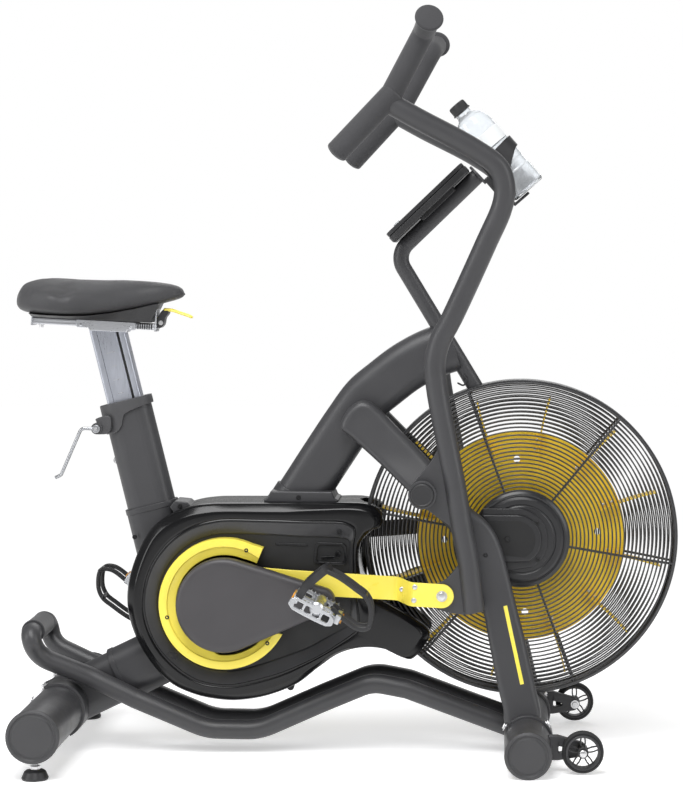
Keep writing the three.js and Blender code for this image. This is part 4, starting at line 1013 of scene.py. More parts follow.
# saddle plate wrapped round the rear tube
rings_o, rings_i = [], []
for rr, edge in ((48.9, 0.0), (49.5, 1.0), (49.5, 2.0)):
    pass
def wrap(q, c, R0, R1, y0, y1, a0, a1, mi=0, n=40):
    prof = rprof([(R0, y0), (R1, y0, 1.4), (R1, y1, 1.4), (R0, y1), (R0, y0)], 3)
    rev(q, prof, (c[0], 0, c[1]), (0, 1, 0), n, mi, a0, a1)
    return q
# rev() measures its angle from the direction u = y x z = +x towards w = y x u = -z
wrap(p, REAR, 43.9, 49.3, -64, 64, rad(-118), rad(62))
emit(p, "lower_beam_tube", "root", "frame", "lower_beam")

# console mast
cp = dense(fillet([(211, 0, 637), (67.3, 0, 875.4, 36), (212.4, 0, 1015.6)], 14), 12)
p = Part()
tube(p, cp, circle(14, 36), ("flat", "flat"))
d45 = unit([math.cos(rad(43.7)), 0, math.sin(rad(43.7))])
rev(p, rprof([(0, -2.4), (20.5, -2.4, 0.8), (20.5, 2.4, 0.8), (0, 2.4)], 3), (213.8, 0, 1017), d45, 44)
emit(p, "console_mast_tube", "root", "frame", "console_mast")
p = Part()
cl = dense(fillet([(178, -16, 648), (190, -17, 642, 5), (194, -17, 655, 4), (186, -17, 662)], 5), 3)
tube(p, cl, circle(1.6, 12), ("dome", "dome"))
emit(p, "cable_clip", "root", "black_plastic")

# base loop
half = [(268, -50, 46, 0), (90, -50, 112, 70), (28, -50, 124, 70), (-60, -50, 88, 80), (-170, -50, 40, 110), (-262, -50, 42, 110), (-388, -50, 95, 80), (-470, -51, 135, 110), (-556, -66, 172, 70), (-568, -88, 213, 30)]
lp2 = dense(fillet([(x, y, z, r) for x, y, z, r in half] + [(x, -y, z, r) for x, y, z, r in half[::-1]], 10), 14)
p = Part()
tube(p, lp2, circle(17, 32), ("flat", "flat"), up=(0, 1, 0))
emit(p, "base_loop_tube", "root", "frame", "base_loop")
p = Part()
rev(p, rprof([(17.2, -52), (19.6, -52, 0.8), (20.6, -50.5, 0.8), (20.6, -46, 0.5), (19.9, -45.2, 0.4), (19.9, 45.2, 0.4), (20.6, 46, 0.5), (20.6, 50.5, 0.8), (19.6, 52, 0.8), (17.2, 52), (17.2, -52)], 3), (-568, 0, 213), (0, 1, 0), 56)
emit(p, "loop_grip_sleeve", "root", "foam", "loop_grip")

# side members
mo = [(-27, 572), (-22, 592), (-8, 610), (8, 619), (24, 617), (38, 607), (84, 561), (129, 516), (166, 474), (199, 437), (224, 417), (241, 397), (253, 373), (261, 347), (273, 300), (284, 256), (295, 214), (305, 170), (315, 126), (324, 78), (318, 60), (284, 56), (262, 66), (258, 94), (252, 117), (244, 153), (233, 207), (223, 258), (204, 303), (185, 346), (176, 375), (164, 399), (130, 431), (96, 461), (45, 508), (-6, 553)]
my = [(600, -48), (520, -62), (470, -80), (420, -92), (350, -92), (300, -92.5), (207, -105), (90, -125), (0, -127)]
myx, myy = [a for a, _ in my[::-1]], [b for _, b in my[::-1]]
zz = np.linspace(0, 640, 129)
yy = np.interp(zz, myx, myy)
ker = np.hanning(17)
yy = np.convolve(np.pad(yy, 8, "edge"), ker / ker.sum(), "valid")
mshear = lambda x, z: float(np.interp(z, zz, yy))


def member_mesh():
    """The bent flat tube: a grid skin, rounded at its edges, that follows the tube's sideways splay."""
    q = Part()
    o = smooth2(mo, 5)
    O = np.array(o)
    n = len(O)
    dO = np.roll(O, -1, 0) - np.roll(O, 1, 0)
    area = 0.5 * np.sum(O[:, 0] * np.roll(O[:, 1], -1) - np.roll(O[:, 0], -1) * O[:, 1])
    N = np.stack([-dO[:, 1], dO[:, 0]], 1) * (1 if area > 0 else -1)
    N /= np.linalg.norm(N, axis=1)[:, None]
    b = 12.0
    rings = []
    for t in np.linspace(rad(-90), rad(90), 15):
        ins = b * (1 - math.cos(t))
        y = (18 - b) * (1 if t > 0 else -1 if t < 0 else 0) + b * math.sin(t)
        R = O + N * ins
        rings.append([(x, y + mshear(x, z), z) for x, z in R])
    loft(q, rings, close0=False, close1=False)
    # flat faces: strips across the tube between matching points of its two edges
    top = np.array(rings[0])
    for ring, sgn2 in ((rings[0], -1), (rings[-1], 1)):
        R = np.array(ring)
        # the outline is walked from both sides of its upper tip
        start = 2 * 5
        half_n = n // 2
        Lh = [(start - k) % n for k in range(1, half_n)]
        Rh = [(start + k) % n for k in range(1, half_n)]
        m = 7
        V, F = [], []
        for a_i, b_i in zip(Lh, Rh):
            for j in range(m + 1):
                f = j / m
                pt = R[a_i] * (1 - f) + R[b_i] * f
                pt[1] = sgn2 * 18 + mshear(pt[0], pt[2])
                V.append(pt)
        rows = len(Lh)
        for i in range(rows - 1):
            for j in range(m):
                F.append([i * (m + 1) + j, i * (m + 1) + j + 1, (i + 1) * (m + 1) + j + 1, (i + 1) * (m + 1) + j])
        base = len(V)
        V.append(R[start])
        F += [[base, j, j + 1] for j in range(m)]
        V.append(R[(start + half_n) % n])
        last = (rows - 1) * (m + 1)
        F += [[base + 1, last + j + 1, last + j] for j in range(m)]
        q.add(V, F)
    return q


q = member_mesh()
emit(q.copy(), "fork_tube_right", "root", "frame", "fork_member_right", merge=0.3)
emit(q.mirror(), "fork_tube_left", "root", "frame", "fork_member_left", merge=0.3)
p = Part()
for s in (-1, 1):
    wrap(p, FRONT, 40.05, 44.6, s * 99, s * 151, rad(-128), rad(52)) if s > 0 else wrap(p, FRONT, 40.05, 44.6, -151, -99, rad(-128), rad(52))
    cyl(p, 15.5, s * 84, s * 121, PIVOT, 40)
emit(p, "front_saddle_plates", "root", "frame")
p = Part()
for s in (-1, 1):
    for a in (148, 118, 84, 40):
        dirn = np.array([math.cos(rad(a)), 0, math.sin(rad(a))])
        pos = np.array([FRONT[0], s * (140 if a in (148, 40) else 126), FRONT[1]]) + dirn * 44.4
        if a in (148, 40):
            hex_bolt(p, pos, dirn, 5.2, 3.8)
    for a in (120, 160):
        dirn = np.array([math.cos(rad(a)), 0, math.sin(rad(a))])
        hex_bolt(p, np.array([REAR[0], s * 52, REAR[1]]) + dirn * 49.1, dirn, 5.2, 3.8)
emit(p, "stabiliser_bolts", "root", "bolt")
p = Part()
for s in (-1, 1):
    socket_screw(p, (228, s * (abs(mshear(228, 355)) + 17.4), 355), (0, s, 0), 4.0, 1.6)
emit(p, "fork_screws", "root", "black_screw")
# a plain painted stripe down each leg's outer face
p = Part()
for s in (-1, 1):
    pts = [(262, 268), (268, 240), (275, 208), (283, 172), (291, 136)]
    V, F = [], []
    for k, (x, z) in enumerate(dense([(x, 0, z) for x, z in pts], 6) and [(a[0], a[2]) for a in dense([(x, 0, z) for x, z in pts], 6)]):
        yb = s * (abs(mshear(x, z)) + 18.05)
        for dx, dy in ((-3.2, 0), (-3.0, 0.22), (3.0, 0.22), (3.2, 0)):
            V.append((x + dx, yb + s * dy, z + dx * 0.25))
    rows = len(V) // 4
    for i in range(rows - 1):
        for j in range(3):
            F.append([i * 4 + j, i * 4 + j + 1, (i + 1) * 4 + j + 1, (i + 1) * 4 + j])
        F.append([i * 4 + 3, i * 4, (i + 1) * 4, (i + 1) * 4 + 3])
    F.append([0, 1, 2, 3])
    F.append([(rows - 1) * 4 + j for j in (3, 2, 1, 0)])
    p.add(V, F)
emit(p, "leg_stripe", "root", "yellow_paint", weighted=False)

# ------------------------------------------------------------------ drive housing
def around(pts, rd, re):
    out = []
    for a in pts:
        u = unit(np.array(a) - np.array(CRANK))
        out.append((a, tuple(np.array(CRANK) + u * rd), tuple(np.array(CRANK) + u * re)))
    return out


LM = [((-227, 440.5), (-227, 411), (-227, 388))]
LM += around([(-252, 440), (-288, 435), (-323, 422), (-359, 395), (-387, 343), (-401, 284), (-396, 234), (-370, 176), (-328, 127)], 142, 120)
LM += around([(-280, 104), (-224, 94.5), (-190, 96)], 145, 121) + [((-150, 104), (-162, 134.5), (-172, 157))]
LM += [((-105, 122), (-127, 145), (-140, 167)), ((-64, 153), (-78, 166), (-85, 187)), ((-28, 177), (-50, 181), (-55, 203)),
       ((11, 187), (-30, 194), (-35, 214)), ((49, 185), (-12, 206), (-20, 222)), ((76, 177), (-4, 212), (-14, 227)),
       ((96, 166), (0, 215), (-11, 230)), ((118, 186), (3, 219), (-9, 234)), ((130, 212), (5, 225), (-8, 240)),
       ((105, 236), (5, 235), (-8, 248)), ((60, 262), (3, 255), (-8, 262)), ((20, 285), (-2, 287), (-9, 287)),
       ((6, 330), (-4, 330), (-10, 330)), ((10, 372), (-4, 368), (-10, 365)), ((30, 393), (-2, 385), (-10, 372)),
       ((45, 400), (-3, 396), (-13, 377)), ((45.5, 422), (-8, 401), (-18, 379)), ((36, 433), (-14, 404), (-24, 380)),
       ((14, 440), (-26, 407), (-32, 381)), ((-60, 440.5), (-90, 408), (-95, 383)), ((-168, 440.5), (-168, 410), (-168, 387))]
P6 = catmull([np.array(a + d + e, float) for a, d, e in LM], 6, True)


def slot_y(x, z):
    r = math.hypot(x - FAN[0], z - FAN[1])
    return float(np.interp(r, [0, 130, 190, 225, 255, 283, 285, 287], [49.5, 49.5, 47.5, 44, 38, 35, 35, 0.6]))


def house_ring(kind, off, y, side):
    ring = []
    for q in P6:
        a, d, e = q[:2], q[2:4], q[4:6]
        L, L2 = np.linalg.norm(d - a), np.linalg.norm(e - d)
        u, w = (d - a) / max(L, 1e-6), (e - d) / max(L2, 1e-6)
        k, k2 = min(1.0, L / 34), min(1.0, L2 / 14)
        if kind == "A":
            p2 = a + u * off * k
        elif kind == "AD":
            p2 = a + (d - a) * off
        elif kind == "D":
            p2 = d + (u if off < 0 else w) * off * (k if off < 0 else k2)
        else:
            p2 = e + w * off * k2
        yy2 = slot_y(a[0], a[1]) + y[0] if isinstance(y, tuple) else y
        ring.append((p2[0], side * yy2, p2[1]))
    return ring


def housing(side):
    q = Part()
    st = [("E", 0, (0.0,)), ("A", 3.0, (0.0,)), ("A", 0.6, (0.2,)), ("A", 0, (1.6,)), ("A", 0, 58.0), ("A", 0.7, 62.5), ("A", 2.4, 65.6),
          ("A", 4.6, 68.4), ("A", 13, 74.8), ("A", 15.2, 76.3), ("A", 18, 77.0)]
    loft(q, [house_ring(*s, side) for s in st], 0, False, False)
    st = [("A", 18, 77.0), ("AD", 0.62, 77.3), ("AD", 0.82, 77.3), ("D", -4.6, 77.1), ("D", -3.2, 76.2), ("D", -1.6, 77.7), ("D", 0, 78.2), ("D", 2.4, 78.0)]
    loft(q, [house_ring(*s, side) for s in st], 0, False, False)
    loft(q, [house_ring(*s, side) for s in (("D", 2.4, 78.0), ("E", -2.5, 73.4), ("E", 0, 72.0), ("E", 1.0, 70.6))], 1, False, False)
    e1 = house_ring("E", 1.0, 70.6, side)
    hole = []
    for x, y, z in e1:
        u = unit((x - CRANK[0], 0, z - CRANK[1]))
        hole.append((CRANK[0] + u[0] * 23, side * 70.6, CRANK[1] + u[2] * 23))
    mid = [tuple((np.array(a) * 0.5 + np.array(b) * 0.5)) for a, b in zip(e1, hole)]
    loft(q, [e1, mid, hole, [(x, y - side * 6, z) for x, y, z in hole]], 2, False, False)
    return q


M["chamfer"] = paint("shell_chamfer", (0.022, 0.022, 0.024), 0.34, 0.0, 0.12, 1700, 0.00002, wear=(0.06, 0.06, 0.065), coat=0.1)
p = housing(-1)
emit(p, "housing_shell_right", "root", ["gloss_black", "chamfer", "dark"], "housing_right", angle=42)
p = housing(1)
BO = [(-60, 384), (286, 409), (308, 406), (322, 392), (326, 374), (321, 356), (307, 343), (290, 340), (-60, 176)]
bo = [tuple(q) for q in fillet([(-60, 300)] + [(x, z, 12) for x, z in BO[:1]] + [(286, 409, 6)] + [tuple(q) for q in BO[2:7]] + [(290, 340, 6), (-60, 176, 12), (-60, 300)], 4)][:-1]
win = [tuple(q) for q in fillet([(60, 369), (236, 384, 5), (252, 372, 8), (238, 346, 8), (60, 283, 8), (14, 264, 4), (12, 366, 4), (60, 369)], 5)][:-1]
plate(p, bo, 49.2, 72, 3.0, holes=[win], mi=0)
emit(p, "housing_shell_left", "root", ["gloss_black", "chamfer", "dark"], "housing_left", angle=42)

# recess details: pocket frame with a rib, on the rider's side
p = Part()
po = fillet([(-40, 372), (-16, 371, 9), (-13, 332, 9), (-74, 334, 7), (-70, 373, 7), (-40, 372)], 6)[:-1]
pi_ = fillet([(-40, 367), (-21, 366, 6), (-19, 338, 6), (-68, 339, 5), (-65, 368, 5), (-40, 367)], 6)[:-1]
plate(p, po, -74.2, -70.2, 1.0, holes=[[tuple(q) for q in pi_]])
plate(p, [(-60, 343), (-36, 343), (-36, 349), (-60, 349)], -75.0, -70.2, 0.8)
cyl(p, 6.0, -76, -70.2, (-30, 352), 24)
plate(p, [(-140, 372), (-84, 370), (-84, 366), (-140, 368)], -73.0, -70.2, 0.8)
emit(p.copy(), "recess_frame_right", "root", "gloss_black")
emit(p.mirror(), "recess_frame_left", "root", "gloss_black")

# boots where the frame enters the housing
p = Part()
b0 = [mast_at(z) for z in np.linspace(318, 431, 5)]
tube(p, b0, FLIP(oval(62.5, 93, 18)), ("flat", "flat"), edge=1.2)
b1 = [mast_at(z) for z in (424, 431.5)]
tube(p, b1, FLIP(oval(64.5, 95.5, 18)), ("flat", "flat"), edge=1.2)
a0 = [np.array([x, 0.0, z]) for x, z in ((-130, 401), (-112, 429), (-101, 446))]
tube(p, a0, oval(64, 98, 18), ("flat", "flat"), edge=1.2)
plate(p, fillet([(-100, 438), (-163, 438.6), (-163, 444.5, 2), (-157, 447.5, 2), (-151, 459.5, 3), (-43, 458.0, 3), (-38, 446.5, 2), (-32, 443.6, 2), (-32, 438.5), (-100, 438)], 4)[:-1], -45, 45, 3.0)
d0 = [np.array([x, 0.0, 73.2 + (x + 538) * 0.4754]) for x in (-424, -390, -356, -322)]
tube(p, d0, oval(63, 99, 18), ("flat", "flat"), edge=1.2)
tube(p, [d0[0], d0[0] + (d0[1] - d0[0]) * 0.2], oval(65, 101.5, 18), ("flat", "flat"), edge=1.2)
plate(p, fillet([(-330, 430), (-322, 441, 4), (-300, 439, 6), (-290, 430, 4), (-318, 414), (-330, 430)], 4)[:-1], -34, 34, 2.0)
emit(p, "frame_boots", "root", "satin_shell", angle=40)
p = Part()
for s in (-1, 1):
    for x, y, z in ((-312.4, 34.2, 432), (-392.5, 31.6, 377), (-102, 45.2, 448.5), (-28, 76.6, 391)):
        socket_screw(p, (x, s * y, z), (0, s, 0), 4.2, 1.4)
cyl(p, 6.2, -10, 10, (-119, 108), 28)
cyl(p, 3.2, -11.4, 11.4, (-119, 108), 20)
emit(p, "housing_screws", "root", "black_screw")


def guard(a0, a1, lip):
    """The C-shaped guard ring: wide flat band with a stepped bevel inside, ends cut at a slant."""
    q = Part()
    sec = [(110.5, 71), (113.2, 72), (114, 74), (114, 95), (113, 96.8), (111.2, 97.4), (101.2, 97.4), (99.8, 96.9), (98.8, 94.8), (97.4, 94.0), (90.0, 90.6), (88.6, 89.0), (88, 87), (88, 80), (88.8, 78.6), (91, 78.3), (109.8, 91.2)]
    # past the crank's far side nothing sweeps by, so the bevel runs further in under the crank cover
    deep = [0] * 10 + [5.0, 7.6, 8.0, 8.0, 8.0, 6.0, 0]
    rings = []
    n = 150
    for i in range(n + 1):
        t = i / n
        th = a0 + (a1 - a0) * t
        # slanted ends: the outer edge runs on further than the inner at the top, and comes to a point below
        e0, e1 = (th - a0), (a1 - th)
        k1 = 1.0
        lo = 114 - 26 * k1
        ring = []
        ext = min(1.0, max(0.0, (266 - th) / 10.0)) * min(1.0, e0 / 16.0)
        flare = 4.0 * max(0.0, 1 - e0 / 9.0)
        for (r, y), dp in zip(sec, deep):
            y = y - dp * 0.55 * ext if 80 < y else y
            rr = 114 - (114 - r) * (114 - lo) / 26 - dp * ext
            yy2 = max(y, 91.0) if (lip and th > 268) or r < 105 else y
            thp = th + 3.2 * (r - 96) / 19.0
            rr += flare * max(0.0, (r - 100) / 14.0)
            ring.append((CRANK[0] + rr * math.cos(rad(thp)), -yy2, CRANK[1] + rr * math.sin(rad(thp))))
        rings.append(ring)
    loft(q, rings)
    return q


emit(guard(52.2, 329.6, True), "guard_ring_shell_right", "root", "yellow_paint", "guard_ring_right", angle=28)
emit(guard(52.2, 314, False).mirror(), "guard_ring_shell_left", "root", "yellow_paint", "guard_ring_left", angle=28)
p = Part()
for s, angs in ((-1, (67.5, 193, 318)), (1, (67.5, 193, 301))):
    for a in angs:
        c = (CRANK[0] + 101.5 * math.cos(rad(a)), s * 97.0, CRANK[1] + 101.5 * math.sin(rad(a)))
        socket_screw(p, c, (0, s, 0), 3.6, 0.9)
emit(p, "guard_ring_screws", "root", "black_screw")

# ------------------------------------------------------------------ crank covers, pedals
def drop_outline(r, tip, grow=0.0, n=40):
    A_, B_ = np.array(CRANK), np.array([CRANK[0] + 172, CRANK[1] + 9])
    d = np.linalg.norm(B_ - A_)
    base = math.atan2(*(B_ - A_)[::-1])
    a = math.acos((r - tip) / d)
    out = [A_ + (r - grow) * np.array([math.cos(t), math.sin(t)]) for t in np.linspace(base + a, base - a + 2 * math.pi, n)]
    out += [B_ + (tip - grow) * np.array([math.cos(t), math.sin(t)]) for t in np.linspace(base - a, base + a, 16)]
    return out


p = Part()
rings = []
for g, y in ((3.4, 100.6), (0.3, 100.8), (0, 101.6), (0, 113.0), (0.8, 116.0), (2.6, 118.6), (5.2, 120.4), (9, 121.4), (14, 121.8)):
    rings.append([(x, -y, z) for x, z in drop_outline(82, 22, g)])
loft(p, rings)
cyl(p, 7.0, -123.0, -121.0, (CRANK[0] + 170, CRANK[1] + 8.9), 32)
emit(p.copy(), "crank_cover_shell_right", "crank", "cover_grey", "crank_cover_right", angle=40)
emit(p.half_turn(), "crank_cover_shell_left", "crank", "cover_grey", "crank_cover_left", angle=40)

PED = (-57.0, 276.9)
PF, PU = np.array([0.891, 0, -0.454]), np.array([0.454, 0, 0.891])
PL = lambda lx, y, lz: np.array([PED[0], 0, PED[1]]) + PF * lx + PU * lz + np.array([0, y, 0])
ped_place = lambda q: PL(q[0], q[1], q[2])


def pedal_parts():
    met, strap, amb, brl = Part(), Part(), Part(), Part()
    # outer and inner cage plates with windows
    for y0, y1, zc in ((-213.6, -208.6, -7), (-134, -129.4, -1)):
        s = met.mark()
        o = fillet([(0, 11 + zc), (30, 12 + zc, 5), (44, 4 + zc, 4), (45, -7 + zc, 4), (34, -12 + zc, 4), (12, -13 + zc, 5), (-12, -13 + zc, 5), (-34, -12 + zc, 4), (-45, -6 + zc, 4), (-44, 5 + zc, 4), (-30, 12 + zc, 5), (0, 11 + zc)], 5)[:-1]
        hs = []
        for hx, hw in ((-26, 8), (-7, 6.5), (10, 6.5), (28, 7)):
            hs.append([tuple(q) for q in fillet([(hx, 5 + zc), (hx + hw, 5 + zc, 2), (hx + hw, -6 + zc, 2), (hx - hw, -6 + zc, 2), (hx - hw, 5 + zc, 2), (hx, 5 + zc)], 4)[:-1]])
        plate(met, [tuple(q) for q in o], y0, y1, 1.1, holes=hs)
        # teeth along the top edge
        for k in range(9):
            tx = -32 + 8 * k
            plate(met, [(tx - 2.4, 10.5 + zc), (tx, 14.8 + zc), (tx + 2.4, 10.5 + zc)], y0 + 0.8, y1 - 0.8, 0.4)
        shf = -6.0 if y0 < -200 else 0.0
        met.map(lambda q: ped_place((q[0] * 0.93 + shf, q[1], q[2])), s)
    # cross bars and the body round the axle
    s = met.mark()
    for bx in (-39, 39):
        box(met, (bx - 5, -209, -9), (bx + 5, -133, 7), 2.4)
    box(met, (-34, -176, -5), (34, -166, 5), 2.0)
    box(met, (-36, -206, -2.5), (-28, -136, 2.5), 1.2)
    box(met, (28, -206, -2.5), (36, -136, 2.5), 1.2)
    met.map(ped_place, s)
    rev(brl, rprof([(0, -214), (8, -214, 1), (12.5, -210, 2), (11, -202, 2), (9.6, -188, 2), (9.6, -152, 2), (12, -140, 2), (13.2, -130, 1.2), (9, -128.2), (0, -128.2)], 4), (PED[0], 0, PED[1]), (0, 1, 0), 44)
    rev(brl, rprof([(0, -129), (7, -129), (7, -122.8), (9.5, -122.8, 0.5), (9.5, -121.8), (0, -121.8)], 2), (PED[0], 0, PED[1]), (0, 1, 0), 6 * 5)
    s = amb.mark()
    for bx in (-44.6, 44.6):
        box(amb, (bx - 2.4, -190, -7.5), (bx + 2.4, -152, 4.5), 1.0)
    amb.map(ped_place, s)
    # toe clip: a bar up each side, joined over the toe, with a strap over the instep
    for yb in (-149, -193):
        path = [PL(lx, yb, lz) for lx, lz in ((24, 10), (42, 4), (76, -1), (92, 8), (82, 38), (66, 52), (44, 57), (10, 62), (-12, 62))]
        tube(strap, dense(catmull(path, 8), 3), [(a * 3.6, b * 2.0) for a, b in circle(1.15, 16)], ("dome", "dome"))
    tube(strap, [PL(93, y, 10) for y in np.linspace(-194, -148, 6)], circle(4.2, 16), ("dome", "dome"))
    tube(strap, [PL(66, y, 51.5) for y in np.linspace(-194, -148, 6)], [(a * 1.4, b * 3.2) for a, b in circle(1.6, 14)], ("dome", "dome"))
    band = [PL(-36, -129.5, 4), PL(-34, -130.6, 22), PL(-20, -139, 56), PL(-14, -152, 66), PL(-12, -171, 69.5), PL(-14, -190, 66), PL(-20, -203, 56), PL(-34, -211.4, 22), PL(-36, -212.4, 4)]
    tube(strap, dense(catmull(band, 8), 3), [(a, b * 6.6) for a, b in ((-1.4, -1), (1.4, -1), (1.4, 1), (-1.4, 1))], ("flat", "flat"), up=(1, 0, 0), edge=0.3)
    return met, strap, amb, brl


met, strap, amb, brl = pedal_parts()
for side, fn in (("right", lambda q: q.copy()), ("left", lambda q: q.half_turn())):
    emit(fn(met), "pedal_cage_" + side, "pedal_" + side, "cast_silver", "pedal_" + side, angle=32)
    emit(fn(strap), "toe_clip_" + side, "pedal_" + side, "black_plastic", angle=40)
    emit(fn(amb), "pedal_reflectors_" + side, "pedal_" + side, "amber")
    emit(fn(brl), "pedal_barrel_" + side, "pedal_" + side, "steel")

# ------------------------------------------------------------------ drive rods
def rod_mesh():
    q = Part()
    e0, e1 = np.array([CRANK[0], CRANK[1] + 44.0]), np.array(ROD_PIN)
    u = unit(e1 - e0)
    w = np.array([-u[1], u[0]])
    L = float(np.linalg.norm(e1 - e0))
    ss = list(-26 * np.cos(np.linspace(0.02, math.pi / 2, 10))) + list(np.linspace(4, L - 4, 90)) + list(L + 20.5 * np.sin(np.linspace(0, math.pi / 2 - 0.02, 10)))
    rings = []
    for s in ss:
        hw = math.sqrt(max(26 ** 2 - s * s, 0.04)) if s < 0 else 20.5 * math.sqrt(max(1 - ((s - L) / 20.5) ** 2, 0.0001)) if s > L else float(np.interp(s, [0, 60, 110, L - 120, L - 78, L], [26, 22.5, 21, 20.6, 20.5, 20.5]))
        c = e0 + u * s
        x = c[0]
        f = min(1.0, max(0.0, (x - 70) / 34))
        yc = -86.5 - 60 * (3 * f * f - 2 * f ** 3) * 1.0
        yc = max(yc, -146.5)
        hy, b = 2.5, min(0.8, hw * 0.4)
        loop = [(-hw, hy - b), (-hw + b, hy), (hw - b, hy), (hw, hy - b), (hw, -hy + b), (hw - b, -hy), (-hw + b, -hy), (-hw, -hy + b)]
        rings.append([(c[0] + w[0] * a, yc + y, c[1] + w[1] * a) for a, y in loop])
    loft(q, rings)
    return q


rod = rod_mesh()
pins = Part()
for x, z in ((82.9, 295.8), (106.9, 305.2), (105.1, 282.4)):
    f = min(1.0, max(0.0, (x - 70) / 34))
    rivet(pins, (x, -86.5 - 60 * (3 * f * f - 2 * f ** 3) - 2.4, z), (0, -1, 0), 4.6, 2.2)
rev(pins, rprof([(0, 0), (9.4, 0, 0.4), (9.4, 1.4, 0.5), (7.2, 1.4), (7.2, 4.4, 1.6), (0, 4.9)], 3), (ROD_PIN[0], -148.8, ROD_PIN[1]), (0, -1, 0), 36)
LT = rad(-13.3)


def turn_rod(q):
    x, z = q[0] - ROD_PIN[0], q[2] - ROD_PIN[1]
    return (ROD_PIN[0] + x * math.cos(LT) + z * math.sin(LT), q[1], ROD_PIN[1] - x * math.sin(LT) + z * math.cos(LT))


emit(rod.copy(), "drive_bar_right", "rod_right", "yellow_paint", "drive_rod_right", angle=30)
emit(rod.copy().map(turn_rod).mirror(), "drive_bar_left", "rod_left", "yellow_paint", "drive_rod_left", angle=30)
emit(pins.copy(), "rod_pins_right", "rod_right", "bolt")
emit(pins.copy().map(turn_rod).mirror(), "rod_pins_left", "rod_left", "bolt")

# ------------------------------------------------------------------ fan
p = Part()
holes = [[(FAN[0] + 136 * math.cos(rad(3 + 90 * i)) + 6 * math.cos(t), FAN[1] + 136 * math.sin(rad(3 + 90 * i)) + 6 * math.sin(t)) for t in np.linspace(0, 2 * math.pi, 20, endpoint=False)] for i in range(4)]
plate(p, [(FAN[0] + x, FAN[1] + z) for x, z in circle(185, 120)], -1.5, 1.5, 0.5, holes=holes)
rev(p, rprof([(9, -30), (36, -30, 2), (42, -22, 3), (42, -3, 2), (54, -1.6, 3), (54, 1.6, 3), (42, 3, 2), (42, 22, 3), (36, 30, 2), (9, 30)], 4), (FAN[0], 0, FAN[1]), (0, 1, 0), 64)
for i in range(12):
    a = rad(12 + 30 * i)
    u = np.array([math.cos(a), 0, -math.sin(a)])
    v = np.array([math.sin(a), 0, math.cos(a)])
    rings = []
    for r in np.linspace(148, 252, 12):
        hw = 21.0 if r < 246 else 19.5
        bow = 3.0 * math.sin((r - 148) / 104 * math.pi)
        c = np.array([FAN[0], 0, FAN[1]]) + u * r + v * bow
        rings.append([c + np.array([0, y, 0]) + v * t for y, t in ((-hw, -1.0), (-hw, 1.0), (-hw * 0.5, 1.2), (0, 1.2), (hw * 0.5, 1.2), (hw, 1.0), (hw, -1.0), (hw * 0.5, -1.2), (0, -1.2), (-hw * 0.5, -1.2))])
    loft(p, rings)
    # foot flange that screws to the disc
    rings = []
    for r in (150, 178):
        c = np.array([FAN[0], 0, FAN[1]]) + u * r
        rings.append([c + v * t + np.array([0, y, 0]) for t, y in ((-1, 1.4), (13, 1.4), (13, 3.2), (-1, 3.2))])
    loft(p, rings)
cyl(p, 15, 30, 52, FAN, 32, bore=8.8)
cyl(p, 20, 51, 67, FAN, 48, bore=8.8)
emit(p, "fan_wheel", "fan", "fan_yellow", "fan_rotor", angle=30)
p = Part()
for i in range(12):
    a = rad(12 + 30 * i)
    u = np.array([math.cos(a), 0, -math.sin(a)])
    v = np.array([math.sin(a), 0, math.cos(a)])
    for r in (156, 172):
        rivet(p, np.array([FAN[0], 3.1, FAN[1]]) + u * r + v * 7, (0, 1, 0), 2.8, 1.6)
        rivet(p, np.array([FAN[0], -1.4, FAN[1]]) + u * r + v * 7, (0, -1, 0), 2.8, 1.6)
emit(p, "fan_rivets", "fan", "bolt", weighted=False)

# ------------------------------------------------------------------ wire cage
def dome_y(r):
    t = min(1.0, max(0.0, (r - 84) / 193))
    return 26 + 20 * (1 - t ** 3)


def cage(side):
    q = Part()
    for r in np.linspace(91, 266, 26):
        prof = [(r + 1.35 * math.cos(t), dome_y(r) + 1.35 * math.sin(t)) for t in np.linspace(0, 2 * math.pi, 8, endpoint=False)]
        prof.append(prof[0])
        rev(q, prof, (FAN[0], 0, FAN[1]), (0, 1, 0), 128)
    for i in range(6):
        a = rad(-10 - 60 * i)
        pts = [np.array([FAN[0] + r * math.cos(a), dome_y(r) - 3.2, FAN[1] + r * math.sin(a)]) for r in np.linspace(80, 272, 16)]
        tube(q, pts, circle(2.2, 10), ("flat", "flat"), edge=0)
    rev(q, rprof([(62, 43.6), (86, 43.6, 0.8), (86, 47, 0.8), (62, 47), (62, 43.6)], 3), (FAN[0], 0, FAN[1]), (0, 1, 0), 96)
    for yy2 in (24.6, 21.0):
        prof = [(273.0 + 2.3 * math.cos(t), yy2 + 2.3 * math.sin(t)) for t in np.linspace(0, 2 * math.pi, 10, endpoint=False)]
        prof.append(prof[0])
        rev(q, prof, (FAN[0], 0, FAN[1]), (0, 1, 0), 144)
    return q if side > 0 else q.mirror()


emit(cage(-1), "wire_guard_right", "root", "wire", "cage_right", weighted=False, angle=60)
emit(cage(1), "wire_guard_left", "root", "wire", "cage_left", weighted=False, angle=60)
p = Part()
rev(p, rprof([(274.4, -23.2), (277, -23.2, 0.8), (278, -21, 1.0), (277.6, -19, 0.8), (277.8, 0, 1), (277.6, 19, 0.8), (278, 21, 1), (277, 23.2, 0.8), (274.4, 23.2), (274.4, -23.2)], 3), (FAN[0], 0, FAN[1]), (0, 1, 0), 168)
emit(p, "rim_band", "root", "wire", "cage_band")

